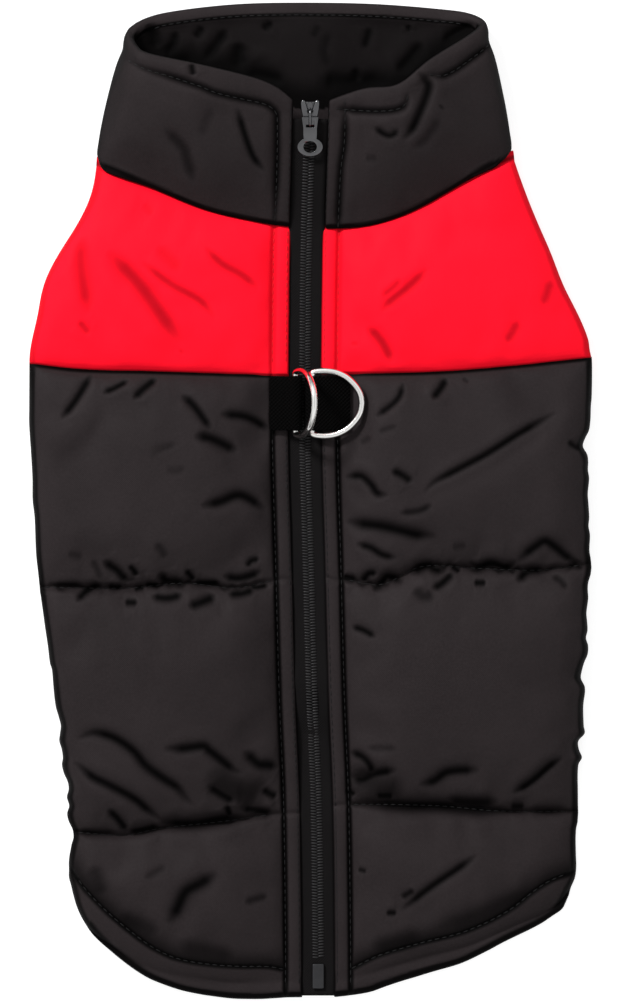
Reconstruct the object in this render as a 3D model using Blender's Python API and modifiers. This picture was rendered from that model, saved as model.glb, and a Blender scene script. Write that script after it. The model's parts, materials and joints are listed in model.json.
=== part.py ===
"""Dog puffer jacket, laid flat with its zip side up. Metres, +Z up, collar towards +Y, left of the zip is -X.

The sizes below are in millimetres. The padded panels are closed walls: a grid whose outer points stand at the
height of the cloth, extruded down to a plain underside.
"""
import math
from collections import namedtuple

import bmesh
import bpy
from mathutils import Matrix, Vector

MM = 0.001
SEAM_GAP = 0.35  # between the cloth of two panels
THINNEST = 1.4  # no cloth is thinner, however deep a crease runs

# Driving sizes of the cloth
BELLY_THICK = 5.0
BACK_UNDER = BELLY_THICK + 0.3  # the back lies on the belly panel
BELLY_HEM_Y = -87.0
TAIL_DROP_Y = (-92.0, -104.0)  # past the belly hem the back comes down to the ground
DRAPE_Y = (55.0, 150.0)  # how far down the tail the outer cloth takes that drop
SEAM_THICK = 3.2  # where a seam or quilting line pinches the padding
EDGE_THICK = 1.8
SIDE_ROLL = 17.0  # width of the rounded side of a panel
LINE_RISE = 30.0  # how far from a sewn line the padding has its full thickness
ZIP_RISE = 34.0  # the same from the topstitching beside the zip
BODY_PUFF = 12.5
YOKE_PUFF = 9.5
TAIL_PUFF = 10.5
HEM_FOLD = 7.0  # width of the turned hem, up to its stitching
HEM_THICK = 5.2

# Driving sizes of the collar
COLLAR_THICK = 5.6
COLLAR_PUFF = 7.0
COLLAR_RISE = 16.0  # how far from the seam or the rim's stitching the collar has its full thickness
RIM_FOLD = 9.2  # width of the turned rim, up to its stitching
RIM_PINCH = 4.0  # the collar's thickness at that stitching
RIM_EDGE = 1.6
STATION_LENGTH = 14.0  # from one of the collar's stations to the next beside the zip
CHEST_SEAM_Y = 168.0  # the collar's far side is sewn to the belly panel here
LYING = COLLAR_THICK / 2  # the height of its middle layer where it lies on the ground
COLLAR_SLOPE = math.atan2(15.2, 58.0)  # how the collar's near side rises towards its rim

# Driving sizes of the zip
ZIP_HALF_OPENING = 7.2  # from the middle of the zip to the cloth edge
PLACKET_WIDTH = 7.8  # from the cloth edge to the topstitching
PLACKET_THICK = 5.0
CHAIN_HALF = 2.8
CHAIN_THICK = 2.4
TAPE_THICK = 1.2
TAPE_LIFT = 1.0
CHAIN_TOP_Y = 170.6  # just under the slider
CHAIN_END_Y = -213.0
CHAIN_SINK = 0.6  # how far the chain's cord lies below the tapes
RIM_END_Y = 181.5
HEM_END_Y = -228.5
ZIP_STEP = 13.0  # length of a stretch of tape or chain in the mesh
ZIP_CLIMB_Y = (112.0, 122.0, 184.0)  # the zip starts to rise, climbs up the collar, and reaches the rim
ZIP_CLIMB_SHARE = 0.75  # how much of the rise is even; the rest starts and ends softly
ZIP_RIM_Z = 22.0
ZIP_BOX_SIZE = (5.4, 11.5, 3.6)
ZIP_BOX_Y = -219.5
ZIP_BOX_Z = 2.2

# Driving sizes of the slider and its pull; the slider is measured along the collar's slope
SLIDER_Y = 177.0
SLIDER_LENGTH = 12.0
SLIDER_HALF = 4.3
SLIDER_LIFT = 0.4  # over the tapes
SLIDER_CORE = (4.2, 8.0, 3.6)  # the part between the tapes
SLIDER_CORE_Z = -1.2
SLIDER_ROUND = 0.5
PLATE_THICK = 1.7
BAIL_HALF = 3.2
BAIL_WIRE = 0.65
HINGE_BACK = 2.2  # from the middle of the slider down the zip to the pull's hinge
HINGE_RISE = 1.0  # from the plate's top
PULL_BAR = 0.55
PULL_THICK = 1.3
PULL_TOP_HALF = 3.8
PULL_WAIST_HALF = 3.1
PULL_WAIST_Y = (-4.6, -7.6)  # from the hinge: where the waist starts and ends
PULL_WINDOW = (1.9, 4.2)  # half width and length of the opening round the bail
PULL_EYE_Y = -13.2
PULL_END = (5.8, 4.3)  # the round end's half width and half length
PULL_EYE = (3.1, 2.7)
PULL_SHOULDER = math.radians(60)  # where the waist meets the round end

# Driving sizes of the rings and their webbing
RING_WIRE = 1.5
RING_HALF = 14.9  # from the middle of the bow to its side, along the zip
RING_DEPTH = 23.1
RING_Y = 44.4
RING_Z = 12.9
RING_RIGHT_X = 0.9
RING_LEFT_X = -6.6
RING_RIGHT_TILT = 7.5
RING_LEFT_TILT = 68.0
# Half the ring's shape, from its straight bar: (depth, along the zip)
BOW = ((0.0, 6.5), (0.0, 13.1), (1.5, 14.5), (6.0, RING_HALF), (11.0, 14.2), (15.8, 12.0), (19.8, 8.3),
       (22.3, 4.3), (RING_DEPTH, 0.0))
WEB_THICK = 1.3
WEB_HALF = 12.4
WEB_RIGHT_END = 18.4
WEB_LEFT_END = -18.6
WEB_SINK = 1.6  # how far the sewn ends lie below the part that holds the bar
WEB_PLAY = 0.4  # between the webbing and the bar
WEB_LAYERS = 1.65  # from the middle of the lower layer to that of the upper one
WEB_KNEE = 0.45  # where the webbing starts to sink, as a share of its length
WEB_WRAP = (math.radians(58), math.radians(244))  # where the webbing leaves its lower layer, and its turn
DENT_MARGIN = 5.5  # how far round the webbing the padding is pressed down
DENT_CLEAR = 0.75  # between the pressed padding and the bar's underside
DENT_ROUND = 3.0  # how far round the rings the padding is pressed down
DENT_SLOPE = 1.1

# Places across a panel where its mesh has lines, counted from an edge
ZIP_MARKS = (0.0, 0.9, 3.4, 6.4, PLACKET_WIDTH, 9.4, 13.0)
SIDE_MARKS = (0.0, 1.0, 3.2, 6.5, 11.0, SIDE_ROLL)
LINE_MARKS = (0.0, 1.3, 3.6, 7.5)
HEM_MARKS = (0.0, 0.9, 3.6, 6.2, 7.2, 8.6, 12.0)
BELLY_MARKS = (0.0, 1.0, 3.5)
COLLAR_ROWS = (0.0, 0.03, 0.14, 0.3, 0.46, 0.62, 0.76, 0.85, 0.91, 0.97, 1.0)
COLUMNS_BETWEEN = 18
ROW_STEP = 6.4
STATION_STEPS = 4


def table(*points):
    """A smooth line through points (at, value), straight beyond its ends."""
    rows = sorted(points)
    slopes = []
    for i in range(len(rows)):
        low, high = rows[max(i - 1, 0)], rows[min(i + 1, len(rows) - 1)]
        slopes.append((high[1] - low[1]) / (high[0] - low[0]))

    def value(at):
        at = min(max(at, rows[0][0]), rows[-1][0])
        i = max(k for k in range(len(rows) - 1) if rows[k][0] <= at)
        (a, va), (b, vb) = rows[i], rows[i + 1]
        step = b - a
        t = (at - a) / step
        bend_in = (t**3 - 2 * t**2 + t) * slopes[i] + (t**3 - t**2) * slopes[i + 1]
        return (2 * t**3 - 3 * t**2 + 1) * va + (3 * t**2 - 2 * t**3) * vb + bend_in * step

    return value


def ramp(value, low, high):
    """0 below low, 1 above high, smooth between."""
    t = min(max((value - low) / (high - low), 0.0), 1.0)
    return t * t * (3 - 2 * t)


def mix(a, b, t):
    return a + (b - a) * t


# The jacket's outline from above: (y, x) down each side, from the collar seam to the corner of the hem
LEFT_SIDE = table(
    (155, -98.3), (140, -101.2), (126.5, -108), (113, -116.8), (99, -123.7), (85, -126), (71, -129.3),
    (57, -129.7), (30, -129.3), (-5, -127.4), (-39, -125.1), (-67, -121), (-101, -115.5), (-129, -112.7),
    (-156, -109.6), (-170, -111), (-184, -108.6), (-191, -106), (-197.8, -101.2),
)
RIGHT_SIDE = table(
    (157.8, 93.4), (140, 99.8), (126.5, 105.3), (113, 111.3), (99, 116.4), (85, 123.7), (71, 129.3),
    (50, 129.7), (35, 128.6), (23, 126), (16, 127.9), (-25, 129.2), (-60, 127.6), (-80.5, 124.7),
    (-87, 126.4), (-101, 126), (-118, 123.5), (-156, 122.5), (-170, 122), (-181, 119.5),
)
# The middle of the zip wanders a little: (y, x)
ZIP_MIDDLE = table(
    (230, 0.2), (185, 0.2), (131, -1.4), (92, -2.1), (28, -2.3), (-32, -0.7), (-92, 0.9), (-138, 2.8),
    (-202, 3.7), (-232, 3.7),
)

# Lines across the back: (x, y) from the side to the zip. Each channel of padding lies between two of them.
Lines = namedtuple("Lines", "collar_seam yoke_seam quilt_upper quilt_lower hem")
LEFT_LINES = Lines(
    collar_seam=table((-98.3, 155), (-71.8, 144), (-47.4, 134), (-22.5, 128.3), (-8.6, 126.3)),
    yoke_seam=table((-129.7, 62.6), (-107, 59.8), (-72, 58.8), (-19, 57.2), (-9.4, 57)),
    quilt_upper=table((-125, -40), (-84, -40.4), (-58, -38.2), (-34, -40.4), (-19, -37.4), (-8, -37.2)),
    quilt_lower=table((-110.5, -153), (-85, -154.4), (-69, -151.3), (-40, -148.1), (-18, -145),
                      (-4.5, -144.4)),
    hem=table((-101.2, -197.8), (-94.3, -205.6), (-87.4, -211.6), (-80.5, -216.7), (-73.6, -220.8),
              (-59.8, -225.9), (-46, -228.6), (-32, -230), (-3.5, -229.6)),
)
RIGHT_LINES = Lines(
    collar_seam=table((93.4, 157.8), (81.9, 153.6), (63.5, 142.6), (45, 132.6), (26.7, 126.8), (5.8, 125.4)),
    yoke_seam=table((129.7, 65.2), (92, 61.2), (57, 58.6), (20.7, 58), (5, 58)),
    quilt_upper=table((128.8, -29.4), (105, -32.2), (77, -31.4), (51, -30.6), (33, -38.8), (16, -36.6),
                      (6.5, -36.4)),
    quilt_lower=table((123, -143.5), (86, -143.3), (59, -140.9), (23, -140.3), (10, -141)),
    hem=table((119.5, -181), (112.7, -190.4), (106, -195), (92, -201.9), (71, -212.6), (57.5, -216.7),
              (37, -223), (23, -228), (10.9, -229.6)),
)

# The main creases: each runs from (x1, y1) over a bow of some millimetres to (x2, y2)
Crease = namedtuple("Crease", "x1 y1 x2 y2 bow width depth")
YOKE_LEFT_CREASES = [
    Crease(-94, 114, -61, 81, -3, 5.5, 2.0),
    Crease(-76, 106, -43, 83, -2, 5.0, 1.4),
    Crease(-46, 109, -24, 99, 2, 4.5, 1.2),
    Crease(-106, 123, -100, 86, 2, 6.0, 1.2),
]
YOKE_RIGHT_CREASES = [
    Crease(56, 103, 35, 89, 2, 5.0, 1.5),
    Crease(22, 81, 38, 64, 3, 4.5, 1.1),
    Crease(99, 84, 91, 72, 1, 5.0, 1.1),
    Crease(98, 120, 60, 118, -4, 6.0, 1.1),
]
BODY_LEFT_CREASES = [
    Crease(-101, 55, -114, 38, 2, 5.0, 1.6),
    Crease(-72, 54, -81, 46, 1, 4.5, 1.3),
    Crease(-58, 48, -45, 34, 1, 4.5, 1.5),
    Crease(-52, 29, -33, 24, 1, 5.0, 2.4),
    Crease(-39, 40, -19, 33, -1, 4.5, 1.4),
    Crease(-48, -2, -21, -5, 3, 5.5, 2.4),
    Crease(-96, -28, -84, -38, 1, 5.0, 1.8),
    Crease(-69, -21, -60, -38, 1, 4.5, 1.6),
    Crease(-87, -64, -69, -89, 2, 6.0, 1.0),
    Crease(-107, -109, -58, -137, 6, 6.0, 2.6),
    Crease(-108, -122, -69, -149, 3, 5.5, 2.4),
    Crease(-67, -113, -33, -126, 3, 5.5, 1.6),
    Crease(-48, -132, -36, -141, 1, 5.0, 2.0),
    Crease(-43, -168, -67, -198, 2, 7.0, 1.2),
]
BODY_RIGHT_CREASES = [
    Crease(64, 55, 57, 46, 1, 4.5, 1.3),
    Crease(42, 50, 29, 39, 1, 4.5, 1.3),
    Crease(112, 40, 53, 5, 4, 5.5, 2.6),
    Crease(37, 13, 47, 9, 1, 4.5, 1.4),
    Crease(16, 11, 35, 3, -2, 5.0, 1.6),
    Crease(16, -9, 57, -17, -4, 5.5, 2.4),
    Crease(21, -19, 39, -27, 1, 5.0, 1.6),
    Crease(15, -59, 30, -64, 1, 5.0, 1.0),
    Crease(19, -128, 40, -124, -3, 5.0, 2.4),
    Crease(52, -132, 76, -125, 2, 5.0, 1.4),
    Crease(117, -117, 94, -137, 2, 5.5, 1.6),
    Crease(74, -164, 42, -190, 2, 7.0, 1.3),
]
GATHER_SPACING = 11.5
GATHER_LENGTH = 13.0
GATHER_DEPTH = 1.5


def clear_scene():
    for thing in list(bpy.data.objects):
        bpy.data.objects.remove(thing, do_unlink=True)
    for kept in list(bpy.data.collections):
        bpy.data.collections.remove(kept)


def material(name, colour, roughness, metallic=0.0):
    made = bpy.data.materials.new(name)
    made.use_nodes = True
    shader = made.node_tree.nodes["Principled BSDF"]
    shader.inputs["Base Color"].default_value = (*colour, 1.0)
    shader.inputs["Roughness"].default_value = roughness
    shader.inputs["Metallic"].default_value = metallic
    return made


def new_object(name, mesh, look):
    """Puts a mesh in the jacket's collection as a named piece."""
    thing = bpy.data.objects.new(name, mesh)
    if look is not None:
        mesh.materials.clear()
        mesh.materials.append(look)
    JACKET.objects.link(thing)
    return thing


def wall(name, outer, inner, look):
    """A closed wall between two grids of points in millimetres, given row by row."""
    rows, columns = len(outer), len(outer[0])
    shape = bmesh.new()
    bmesh.ops.create_grid(shape, x_segments=columns - 1, y_segments=rows - 1, size=1.0)
    shape.verts.ensure_lookup_table()
    sheet = list(shape.verts)
    under = bmesh.ops.extrude_face_region(shape, geom=list(shape.faces), use_keep_orig=True)
    copies = [v for v in under["geom"] if isinstance(v, bmesh.types.BMVert)]
    paired = dict(zip(((round(v.co.x, 5), round(v.co.y, 5)) for v in copies), copies))
    for number, corner in enumerate(sheet):
        row, column = divmod(number, columns)
        below = paired[(round(corner.co.x, 5), round(corner.co.y, 5))]
        corner.co = Vector(outer[row][column]) * MM
        below.co = Vector(inner[row][column]) * MM
    bmesh.ops.recalc_face_normals(shape, faces=list(shape.faces))
    bmesh.ops.triangulate(shape, faces=list(shape.faces))
    mesh = bpy.data.meshes.new(name)
    shape.to_mesh(mesh)
    shape.free()
    mesh.shade_smooth()
    mesh.set_sharp_from_angle(angle=math.radians(50))
    return new_object(name, mesh, look)


def under_height(y):
    """The underside of the back: on the belly panel, then on the ground past its hem."""
    return BACK_UNDER * (1 - min(max((TAIL_DROP_Y[0] - y) / (TAIL_DROP_Y[0] - TAIL_DROP_Y[1]), 0), 1))


def drape_height(y):
    """The height that the back's padding is measured from: a long soft slope over the belly hem."""
    return BACK_UNDER * (1 - ramp(-y, DRAPE_Y[0], DRAPE_Y[1]))


def crease_relief(x, y, creases):
    """How far the creases push the cloth at a point: a trough with a softer ridge on each side."""
    total = 0.0
    for c in creases:
        along = Vector((c.x2 - c.x1, c.y2 - c.y1))
        length = along.length
        along /= length
        offset = Vector((x - c.x1, y - c.y1))
        t = offset.dot(along) / length
        if t < -0.1 or t > 1.1:
            continue
        bow = 4 * c.bow * t * (1 - t)
        across = (along.x * offset.y - along.y * offset.x) - bow
        fade = ramp(t, -0.1, 0.25) * (1 - ramp(t, 0.7, 1.1))
        trough = math.exp(-((across / (0.55 * c.width)) ** 2))
        ridge = math.exp(-(((abs(across) - 1.25 * c.width) / (0.7 * c.width)) ** 2))
        total += fade * c.depth * (0.45 * ridge - trough)
    return total


def gathers(side, line, start, end, above, below):
    """Short uneven gathers that run out from a quilting line, each listed as a crease."""
    made = []
    count = int(abs(end - start) / GATHER_SPACING)
    for k in range(count):
        x = mix(start, end, (k + 0.5 + 0.28 * math.sin(2.4 * k + side)) / count)
        y = line(x)
        lean = 4.5 * math.sin(1.9 * k + 0.7 * side)
        reach = GATHER_LENGTH * (0.75 + 0.35 * math.sin(3.1 * k + side))
        depth = GATHER_DEPTH * (0.75 + 0.4 * math.sin(1.3 * k + 2 * side))
        if above:
            made.append(Crease(x, y + 1.5, x + lean, y + reach, 0.6, 3.6, depth))
        if below:
            made.append(Crease(x + 4, y - 1.5, x + 4 - 0.8 * lean, y - 0.9 * reach, 0.6, 3.6, 0.8 * depth))
    return made


def spread(length, start_marks, end_marks, count):
    """Distances from 0 to length: fixed ones near both ends, an even run between."""
    first, last = start_marks[-1], length - end_marks[-1]
    middle = [mix(first, last, (k + 1) / (count + 1)) for k in range(count)]
    return list(start_marks) + middle + [length - mark for mark in reversed(end_marks)]


def ring_dent(x, y):
    """The greatest height that the cloth may have under the rings and their webbing."""
    lift = max(x - RING_RIGHT_X, 0.0) * math.tan(math.radians(RING_RIGHT_TILT))
    low = RING_Z - RING_WIRE - DENT_CLEAR + lift
    if WEB_LEFT_END - DENT_MARGIN < x < WEB_RIGHT_END + DENT_MARGIN:
        bar_x, end_x = (RING_RIGHT_X, WEB_RIGHT_END) if x > ZIP_MIDDLE(y) else (RING_LEFT_X, WEB_LEFT_END)
        low = RING_Z - RING_WIRE - DENT_CLEAR - WEB_SINK * min(max((x - bar_x) / (end_x - bar_x), 0.0), 1.1)
    far = max(abs(y - RING_Y) - (RING_HALF + DENT_ROUND), 0.0)
    past = max(x - (RING_RIGHT_X + RING_DEPTH + DENT_ROUND), 0.0, (WEB_LEFT_END - DENT_MARGIN) - x)
    return low + DENT_SLOPE * math.hypot(far, past)


def back_panel(name, side, names, puffs, creases, look):
    """A padded half of the back, from the zip to the side, with a channel between each two named lines.

    side is -1 for the left half. puffs gives each channel's thickness in the middle.
    """
    lines = LEFT_LINES if side < 0 else RIGHT_LINES
    side_x = LEFT_SIDE if side < 0 else RIGHT_SIDE
    across = [getattr(lines, line) for line in names]

    def ends(line, y_guess_zip, y_guess_side):
        """Where a line starts at the zip and ends at the side: (x, x)."""
        x_zip = ZIP_MIDDLE(y_guess_zip) + side * ZIP_HALF_OPENING
        x_side = side_x(y_guess_side)
        for _ in range(12):
            x_zip = ZIP_MIDDLE(line(x_zip)) + side * ZIP_HALF_OPENING
            x_side = mix(x_side, side_x(line(x_side)), 0.5)
        return x_zip, x_side

    limits = [ends(line, line(0.0), line(side * 110.0)) for line in across]
    outer, inner = [], []
    for channel, puff in enumerate(puffs):
        top, bottom = across[channel], across[channel + 1]
        (top_zip, top_side), (low_zip, low_side) = limits[channel], limits[channel + 1]
        is_hem = names[channel + 1] == "hem"
        depth = top((top_zip + top_side) / 2) - bottom((low_zip + low_side) / 2)
        end_marks = HEM_MARKS if is_hem else LINE_MARKS
        count = max(int((depth - LINE_MARKS[-1] - end_marks[-1]) / ROW_STEP), 1)
        marks = spread(depth, LINE_MARKS, end_marks, count)
        if channel:
            marks = marks[1:]
        for mark in marks:
            f = mark / depth
            y_zip = mix(top(top_zip), bottom(low_zip), f)
            y_side = mix(top(top_side), bottom(low_side), f)
            x_zip = ZIP_MIDDLE(y_zip) + side * ZIP_HALF_OPENING
            x_side = side_x(y_side)
            width = abs(x_side - x_zip)
            outer_row, inner_row = [], []
            for reach in spread(width, ZIP_MARKS, SIDE_MARKS, COLUMNS_BETWEEN):
                u = reach / width
                x = mix(x_zip, x_side, u)
                y = mix(top(mix(top_zip, top_side, u)), bottom(mix(low_zip, low_side, u)), f)
                if channel == 0:
                    y -= SEAM_GAP * (1 - f) * 0.5
                if channel == len(puffs) - 1 and not is_hem:
                    y += SEAM_GAP * f * 0.5
                thick = thickness(reach, width - reach, mark, depth - mark, puff, is_hem)
                full = ramp(thick, SEAM_THICK, 0.6 * puff)
                thick += crease_relief(x, y, creases) * mix(0.35, 1.0, full) * ramp(width - reach, 1, 9)
                floor = under_height(y)
                height = max(drape_height(y) + thick, floor + THINNEST)
                outer_row.append((x, y, min(height, max(ring_dent(x, y), floor + THINNEST))))
                inner_row.append((x, y, floor))
            outer.append(outer_row)
            inner.append(inner_row)
    return wall(name, outer, inner, look)


def rounded(distance, reach):
    """0 at an edge, 1 from reach on, round between, like the side of a pillow."""
    return math.sqrt(1 - (1 - min(max(distance / reach, 0.0), 1.0)) ** 2)


def fold(distance, width):
    """0 at both sides of a turned edge, 1 in its middle."""
    return math.sin(math.pi * min(max(distance / width, 0.0), 1.0)) ** 0.5


def thickness(from_zip, from_side, from_top, from_bottom, puff, is_hem):
    """How thick the padding is, from its distances to the edges and lines around it."""
    low_reach = from_bottom - HEM_FOLD if is_hem else from_bottom
    top, low = (rounded(reach, LINE_RISE) ** 0.9 for reach in (from_top, low_reach))
    thick = SEAM_THICK + (puff - SEAM_THICK) * top * low * rounded(from_zip - PLACKET_WIDTH, ZIP_RISE)
    if from_zip < PLACKET_WIDTH:
        placket = mix(SEAM_THICK - 0.4, PLACKET_THICK, fold(from_zip, PLACKET_WIDTH))
        thick = max(thick, placket * mix(0.8, 1.0, min(top, low)))
    if is_hem and from_bottom < HEM_FOLD:
        thick = max(mix(EDGE_THICK, HEM_THICK, fold(from_bottom, HEM_FOLD)), 0.6 * thick)
    return mix(min(EDGE_THICK, thick), thick, rounded(from_side, SIDE_ROLL))


# The collar goes round from the zip's left edge, by the left side and the chest, to its right edge.
Station = namedtuple("Station", "seam_x seam_y seam_z rim_x rim_y rim_z bulge")
COLLAR = [
    Station(-8.6, 126.3, 9.2, -7.0, 182.4, 24.0, 0.0),
    Station(-22.5, 128.3, 9.2, -20.0, 191.2, 25.5, 1.5),
    Station(-47.4, 134.0, 9.6, -48.0, 198.4, 27.0, 3.0),
    Station(-71.8, 144.0, 10.0, -72.4, 203.6, 26.0, 3.5),
    Station(-90.0, 151.4, 10.4, -79.0, 207.6, 21.0, 3.0),
    Station(-97.0, 157.4, 7.4, -82.2, 215.4, 13.0, 1.5),
    Station(-90.0, 164.5, 3.4, -76.0, 222.0, 5.4, 0.5),
    Station(-68.0, CHEST_SEAM_Y, LYING, -62.0, 225.8, 3.0, 0.0),
    Station(-36.0, CHEST_SEAM_Y, LYING, -33.0, 229.0, LYING, 0.0),
    Station(-2.0, CHEST_SEAM_Y, LYING, -2.0, 229.6, LYING, 0.0),
    Station(32.0, CHEST_SEAM_Y, LYING, 30.0, 229.0, LYING, 0.0),
    Station(64.0, CHEST_SEAM_Y, LYING, 60.0, 226.6, 3.0, 0.0),
    Station(84.0, 165.4, 3.4, 73.4, 224.4, 5.4, 0.5),
    Station(91.6, 160.2, 7.4, 78.8, 219.6, 12.0, 1.5),
    Station(84.4, 155.4, 10.4, 72.6, 213.0, 19.0, 2.6),
    Station(63.5, 142.6, 10.0, 54.0, 201.0, 26.0, 3.5),
    Station(45.0, 132.6, 9.6, 39.8, 189.6, 27.0, 3.0),
    Station(26.7, 126.8, 9.2, 25.0, 188.2, 25.5, 1.5),
    Station(5.8, 125.4, 9.2, 7.6, 182.4, 24.0, 0.0),
]
COLLAR_CREASES = [
    Crease(54, 192, 46, 168, -2, 4.5, 2.2),
    Crease(38, 176, 48, 170, 1, 4.0, 1.0),
    Crease(-80, 176, -58, 166, 2, 6.0, 1.2),
    Crease(-62, 184, -40, 172, 2, 6.0, 1.0),
    Crease(70, 186, 80, 165, 2, 6.0, 1.2),
    Crease(-44, 214, -24, 196, 3, 7.0, 1.4),
    Crease(-20, 220, 4, 204, -3, 8.0, 1.3),
    Crease(26, 216, 50, 206, 4, 8.0, 1.6),
]


def curve_through(rows, at):
    """A smooth value at a place along evenly numbered rows."""
    at = min(max(at, 0.0), len(rows) - 1.0)
    i = min(int(at), len(rows) - 2)
    t = at - i
    before, a, b, after = rows[max(i - 1, 0)], rows[i], rows[i + 1], rows[min(i + 2, len(rows) - 1)]
    return 0.5 * (2 * a + (b - before) * t + (2 * before - 5 * a + 4 * b - after) * t * t
                  + (3 * a - before - 3 * b + after) * t**3)


def collar_middle(at, up):
    """A point of the collar's middle layer: at counts the stations, up goes from the seam to the rim."""
    s = Station(*(curve_through([row[k] for row in COLLAR], at) for k in range(7)))
    seam = Vector((s.seam_x, s.seam_y, s.seam_z))
    last = len(COLLAR) - 1
    if at <= 4 or at >= last - 4:
        line = LEFT_LINES.collar_seam if at <= 4 else RIGHT_LINES.collar_seam
        seam.y = line(s.seam_x) + SEAM_GAP
    rim = Vector((s.rim_x, s.rim_y, s.rim_z))
    point = seam.lerp(rim, up)
    point.z += s.bulge * math.sin(math.pi * up)
    if at < 0.001 or at > last - 0.001:
        side = -1 if at < 1 else 1
        point.x = ZIP_MIDDLE(point.y) + side * ZIP_HALF_OPENING
    return point


def collar():
    """The padded stand collar: a wall along a band that goes round the neck, open above."""
    last = len(COLLAR) - 1
    steps = [k / STATION_STEPS for k in range(last * STATION_STEPS + 1)]
    edge_steps = [0.06] + [share * PLACKET_WIDTH / STATION_LENGTH for share in (0.5, 0.92, 1.15)]
    ends = edge_steps + [last - step for step in edge_steps]
    steps = sorted([s for s in steps if min(abs(s - e) for e in ends) > 0.07] + ends)
    outer, inner = [], []
    for at in steps:
        outer_row, inner_row = [], []
        for up in COLLAR_ROWS:
            point = collar_middle(at, up)
            along = collar_middle(min(at + 0.15, last), up) - collar_middle(max(at - 0.15, 0), up)
            height = collar_middle(at, min(up + 0.05, 1)) - collar_middle(at, max(up - 0.05, 0))
            out = along.cross(height).normalized() * -1
            length = (collar_middle(at, 1) - collar_middle(at, 0)).length
            from_zip = min(at, last - at) * STATION_LENGTH
            half = 0.5 * collar_thickness(up * length, (1 - up) * length, from_zip)
            relief = crease_relief(point.x, point.y, COLLAR_CREASES) * ramp((1 - up) * length, 3, 10)
            upper_wall = out.z > 0.3
            outward = point + out * (half + (relief if upper_wall else 0.0))
            inward = point - out * (half + (0.0 if upper_wall else relief * ramp(-out.z, 0.3, 0.9)))
            outward.z = max(outward.z, 0.0)
            inward.z = max(inward.z, 0.9)
            outer_row.append(tuple(outward))
            inner_row.append(tuple(inward))
        outer.append(outer_row)
        inner.append(inner_row)
    return wall("collar", outer, inner, SHELL_BLACK)


def collar_thickness(from_seam, from_rim, from_zip):
    """The collar's padding, with the folded and stitched rim."""
    thick = mix(SEAM_THICK, COLLAR_PUFF, min(from_seam / COLLAR_RISE, 1) ** 0.6)
    thick = mix(min(RIM_PINCH, thick), thick, rounded(from_rim - RIM_FOLD, COLLAR_RISE))
    if from_rim < RIM_FOLD:
        thick = mix(RIM_EDGE, COLLAR_THICK, fold(max(from_rim, 0.05 * RIM_FOLD), RIM_FOLD))
    if from_zip < PLACKET_WIDTH:
        placket = fold(max(from_zip, 0.1 * PLACKET_WIDTH), PLACKET_WIDTH)
        thick = min(thick, mix(SEAM_THICK, PLACKET_THICK, placket))
    return thick


def belly_panel():
    """The chest and belly panel under the back: flat, drawn in at the leg openings."""
    half_width = table((167.5, 66), (158, 76), (146, 74), (125, 64), (95, 60), (66, 72), (42, 98), (24, 116),
                       (-30, 119), (-60, 114), (BELLY_HEM_Y, 107))
    middle = table((167.5, -2), (60, 0), (-30, 1.5), (BELLY_HEM_Y, 3.5))
    rows = spread(CHEST_SEAM_Y - SEAM_GAP - BELLY_HEM_Y, (0, 1.2, 5), (0, 1.2, 5), 22)
    outer, inner = [], []
    for mark in rows:
        y = CHEST_SEAM_Y - SEAM_GAP - mark
        low = min(mark, rows[-1] - mark)
        half, centre = half_width(y), middle(y)
        outer_row, inner_row = [], []
        for reach in spread(2 * half, BELLY_MARKS, BELLY_MARKS, 3):
            edge = min(reach, 2 * half - reach, low)
            top = mix(2.0, BELLY_THICK, rounded(edge, BELLY_MARKS[-1]))
            outer_row.append((centre - half + reach, y, top))
            inner_row.append((centre - half + reach, y, 0.0))
        outer.append(outer_row)
        inner.append(inner_row)
    return wall("belly_panel", outer, inner, SHELL_BLACK)


def zip_floor(y):
    """The height under the zip's tapes: over the back's underside, then up the collar."""
    start, climb, rim = ZIP_CLIMB_Y
    even = max(y - climb, 0.0) / (rim - climb)
    return mix(under_height(y), ZIP_RIM_Z, mix(ramp(y, start, rim), even, ZIP_CLIMB_SHARE))


def strip(name, left, right, lift, thick, y_top, y_end, look):
    """A flat band along the zip; left and right are distances from its middle."""
    count = int((y_top - y_end) / ZIP_STEP)
    outer, inner = [], []
    for k in range(count + 1):
        y = mix(y_top, y_end, k / count)
        middle, floor = ZIP_MIDDLE(y), zip_floor(y) + lift
        outer.append([(middle + left, y, floor + thick), (middle + right, y, floor + thick)])
        inner.append([(middle + left, y, floor), (middle + right, y, floor)])
    return wall(name, outer, inner, look)


def box(name, size, place, look, bevel):
    """A block with rounded edges, from a cube."""
    bpy.ops.mesh.primitive_cube_add(size=1.0, location=(0, 0, 0))
    thing = bpy.context.object
    thing.name = name
    thing.data.transform(Matrix.Diagonal((*(v * MM for v in size), 1.0)))
    thing.data.transform(Matrix.Translation(Vector(place) * MM))
    rounded = thing.modifiers.new("Edges", "BEVEL")
    rounded.width = bevel * MM
    rounded.segments = 2
    move_to_jacket(thing, look)
    return thing


def move_to_jacket(thing, look):
    for kept in list(thing.users_collection):
        kept.objects.unlink(thing)
    JACKET.objects.link(thing)
    if look is not None:
        thing.data.materials.clear()
        thing.data.materials.append(look)


def slider_frame():
    """The slider's place: its origin is the pull's hinge, over the plate; X across and Y up the zip."""
    y = SLIDER_Y
    floor = zip_floor(y) + TAPE_LIFT + TAPE_THICK + SLIDER_LIFT
    turn = Matrix.Rotation(COLLAR_SLOPE, 4, "X")
    base = Matrix.Translation(Vector((ZIP_MIDDLE(y), y, floor)) * MM) @ turn
    hinge = base @ Matrix.Translation(Vector((0, -HINGE_BACK, PLATE_THICK + HINGE_RISE)) * MM)
    return base, hinge


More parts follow.
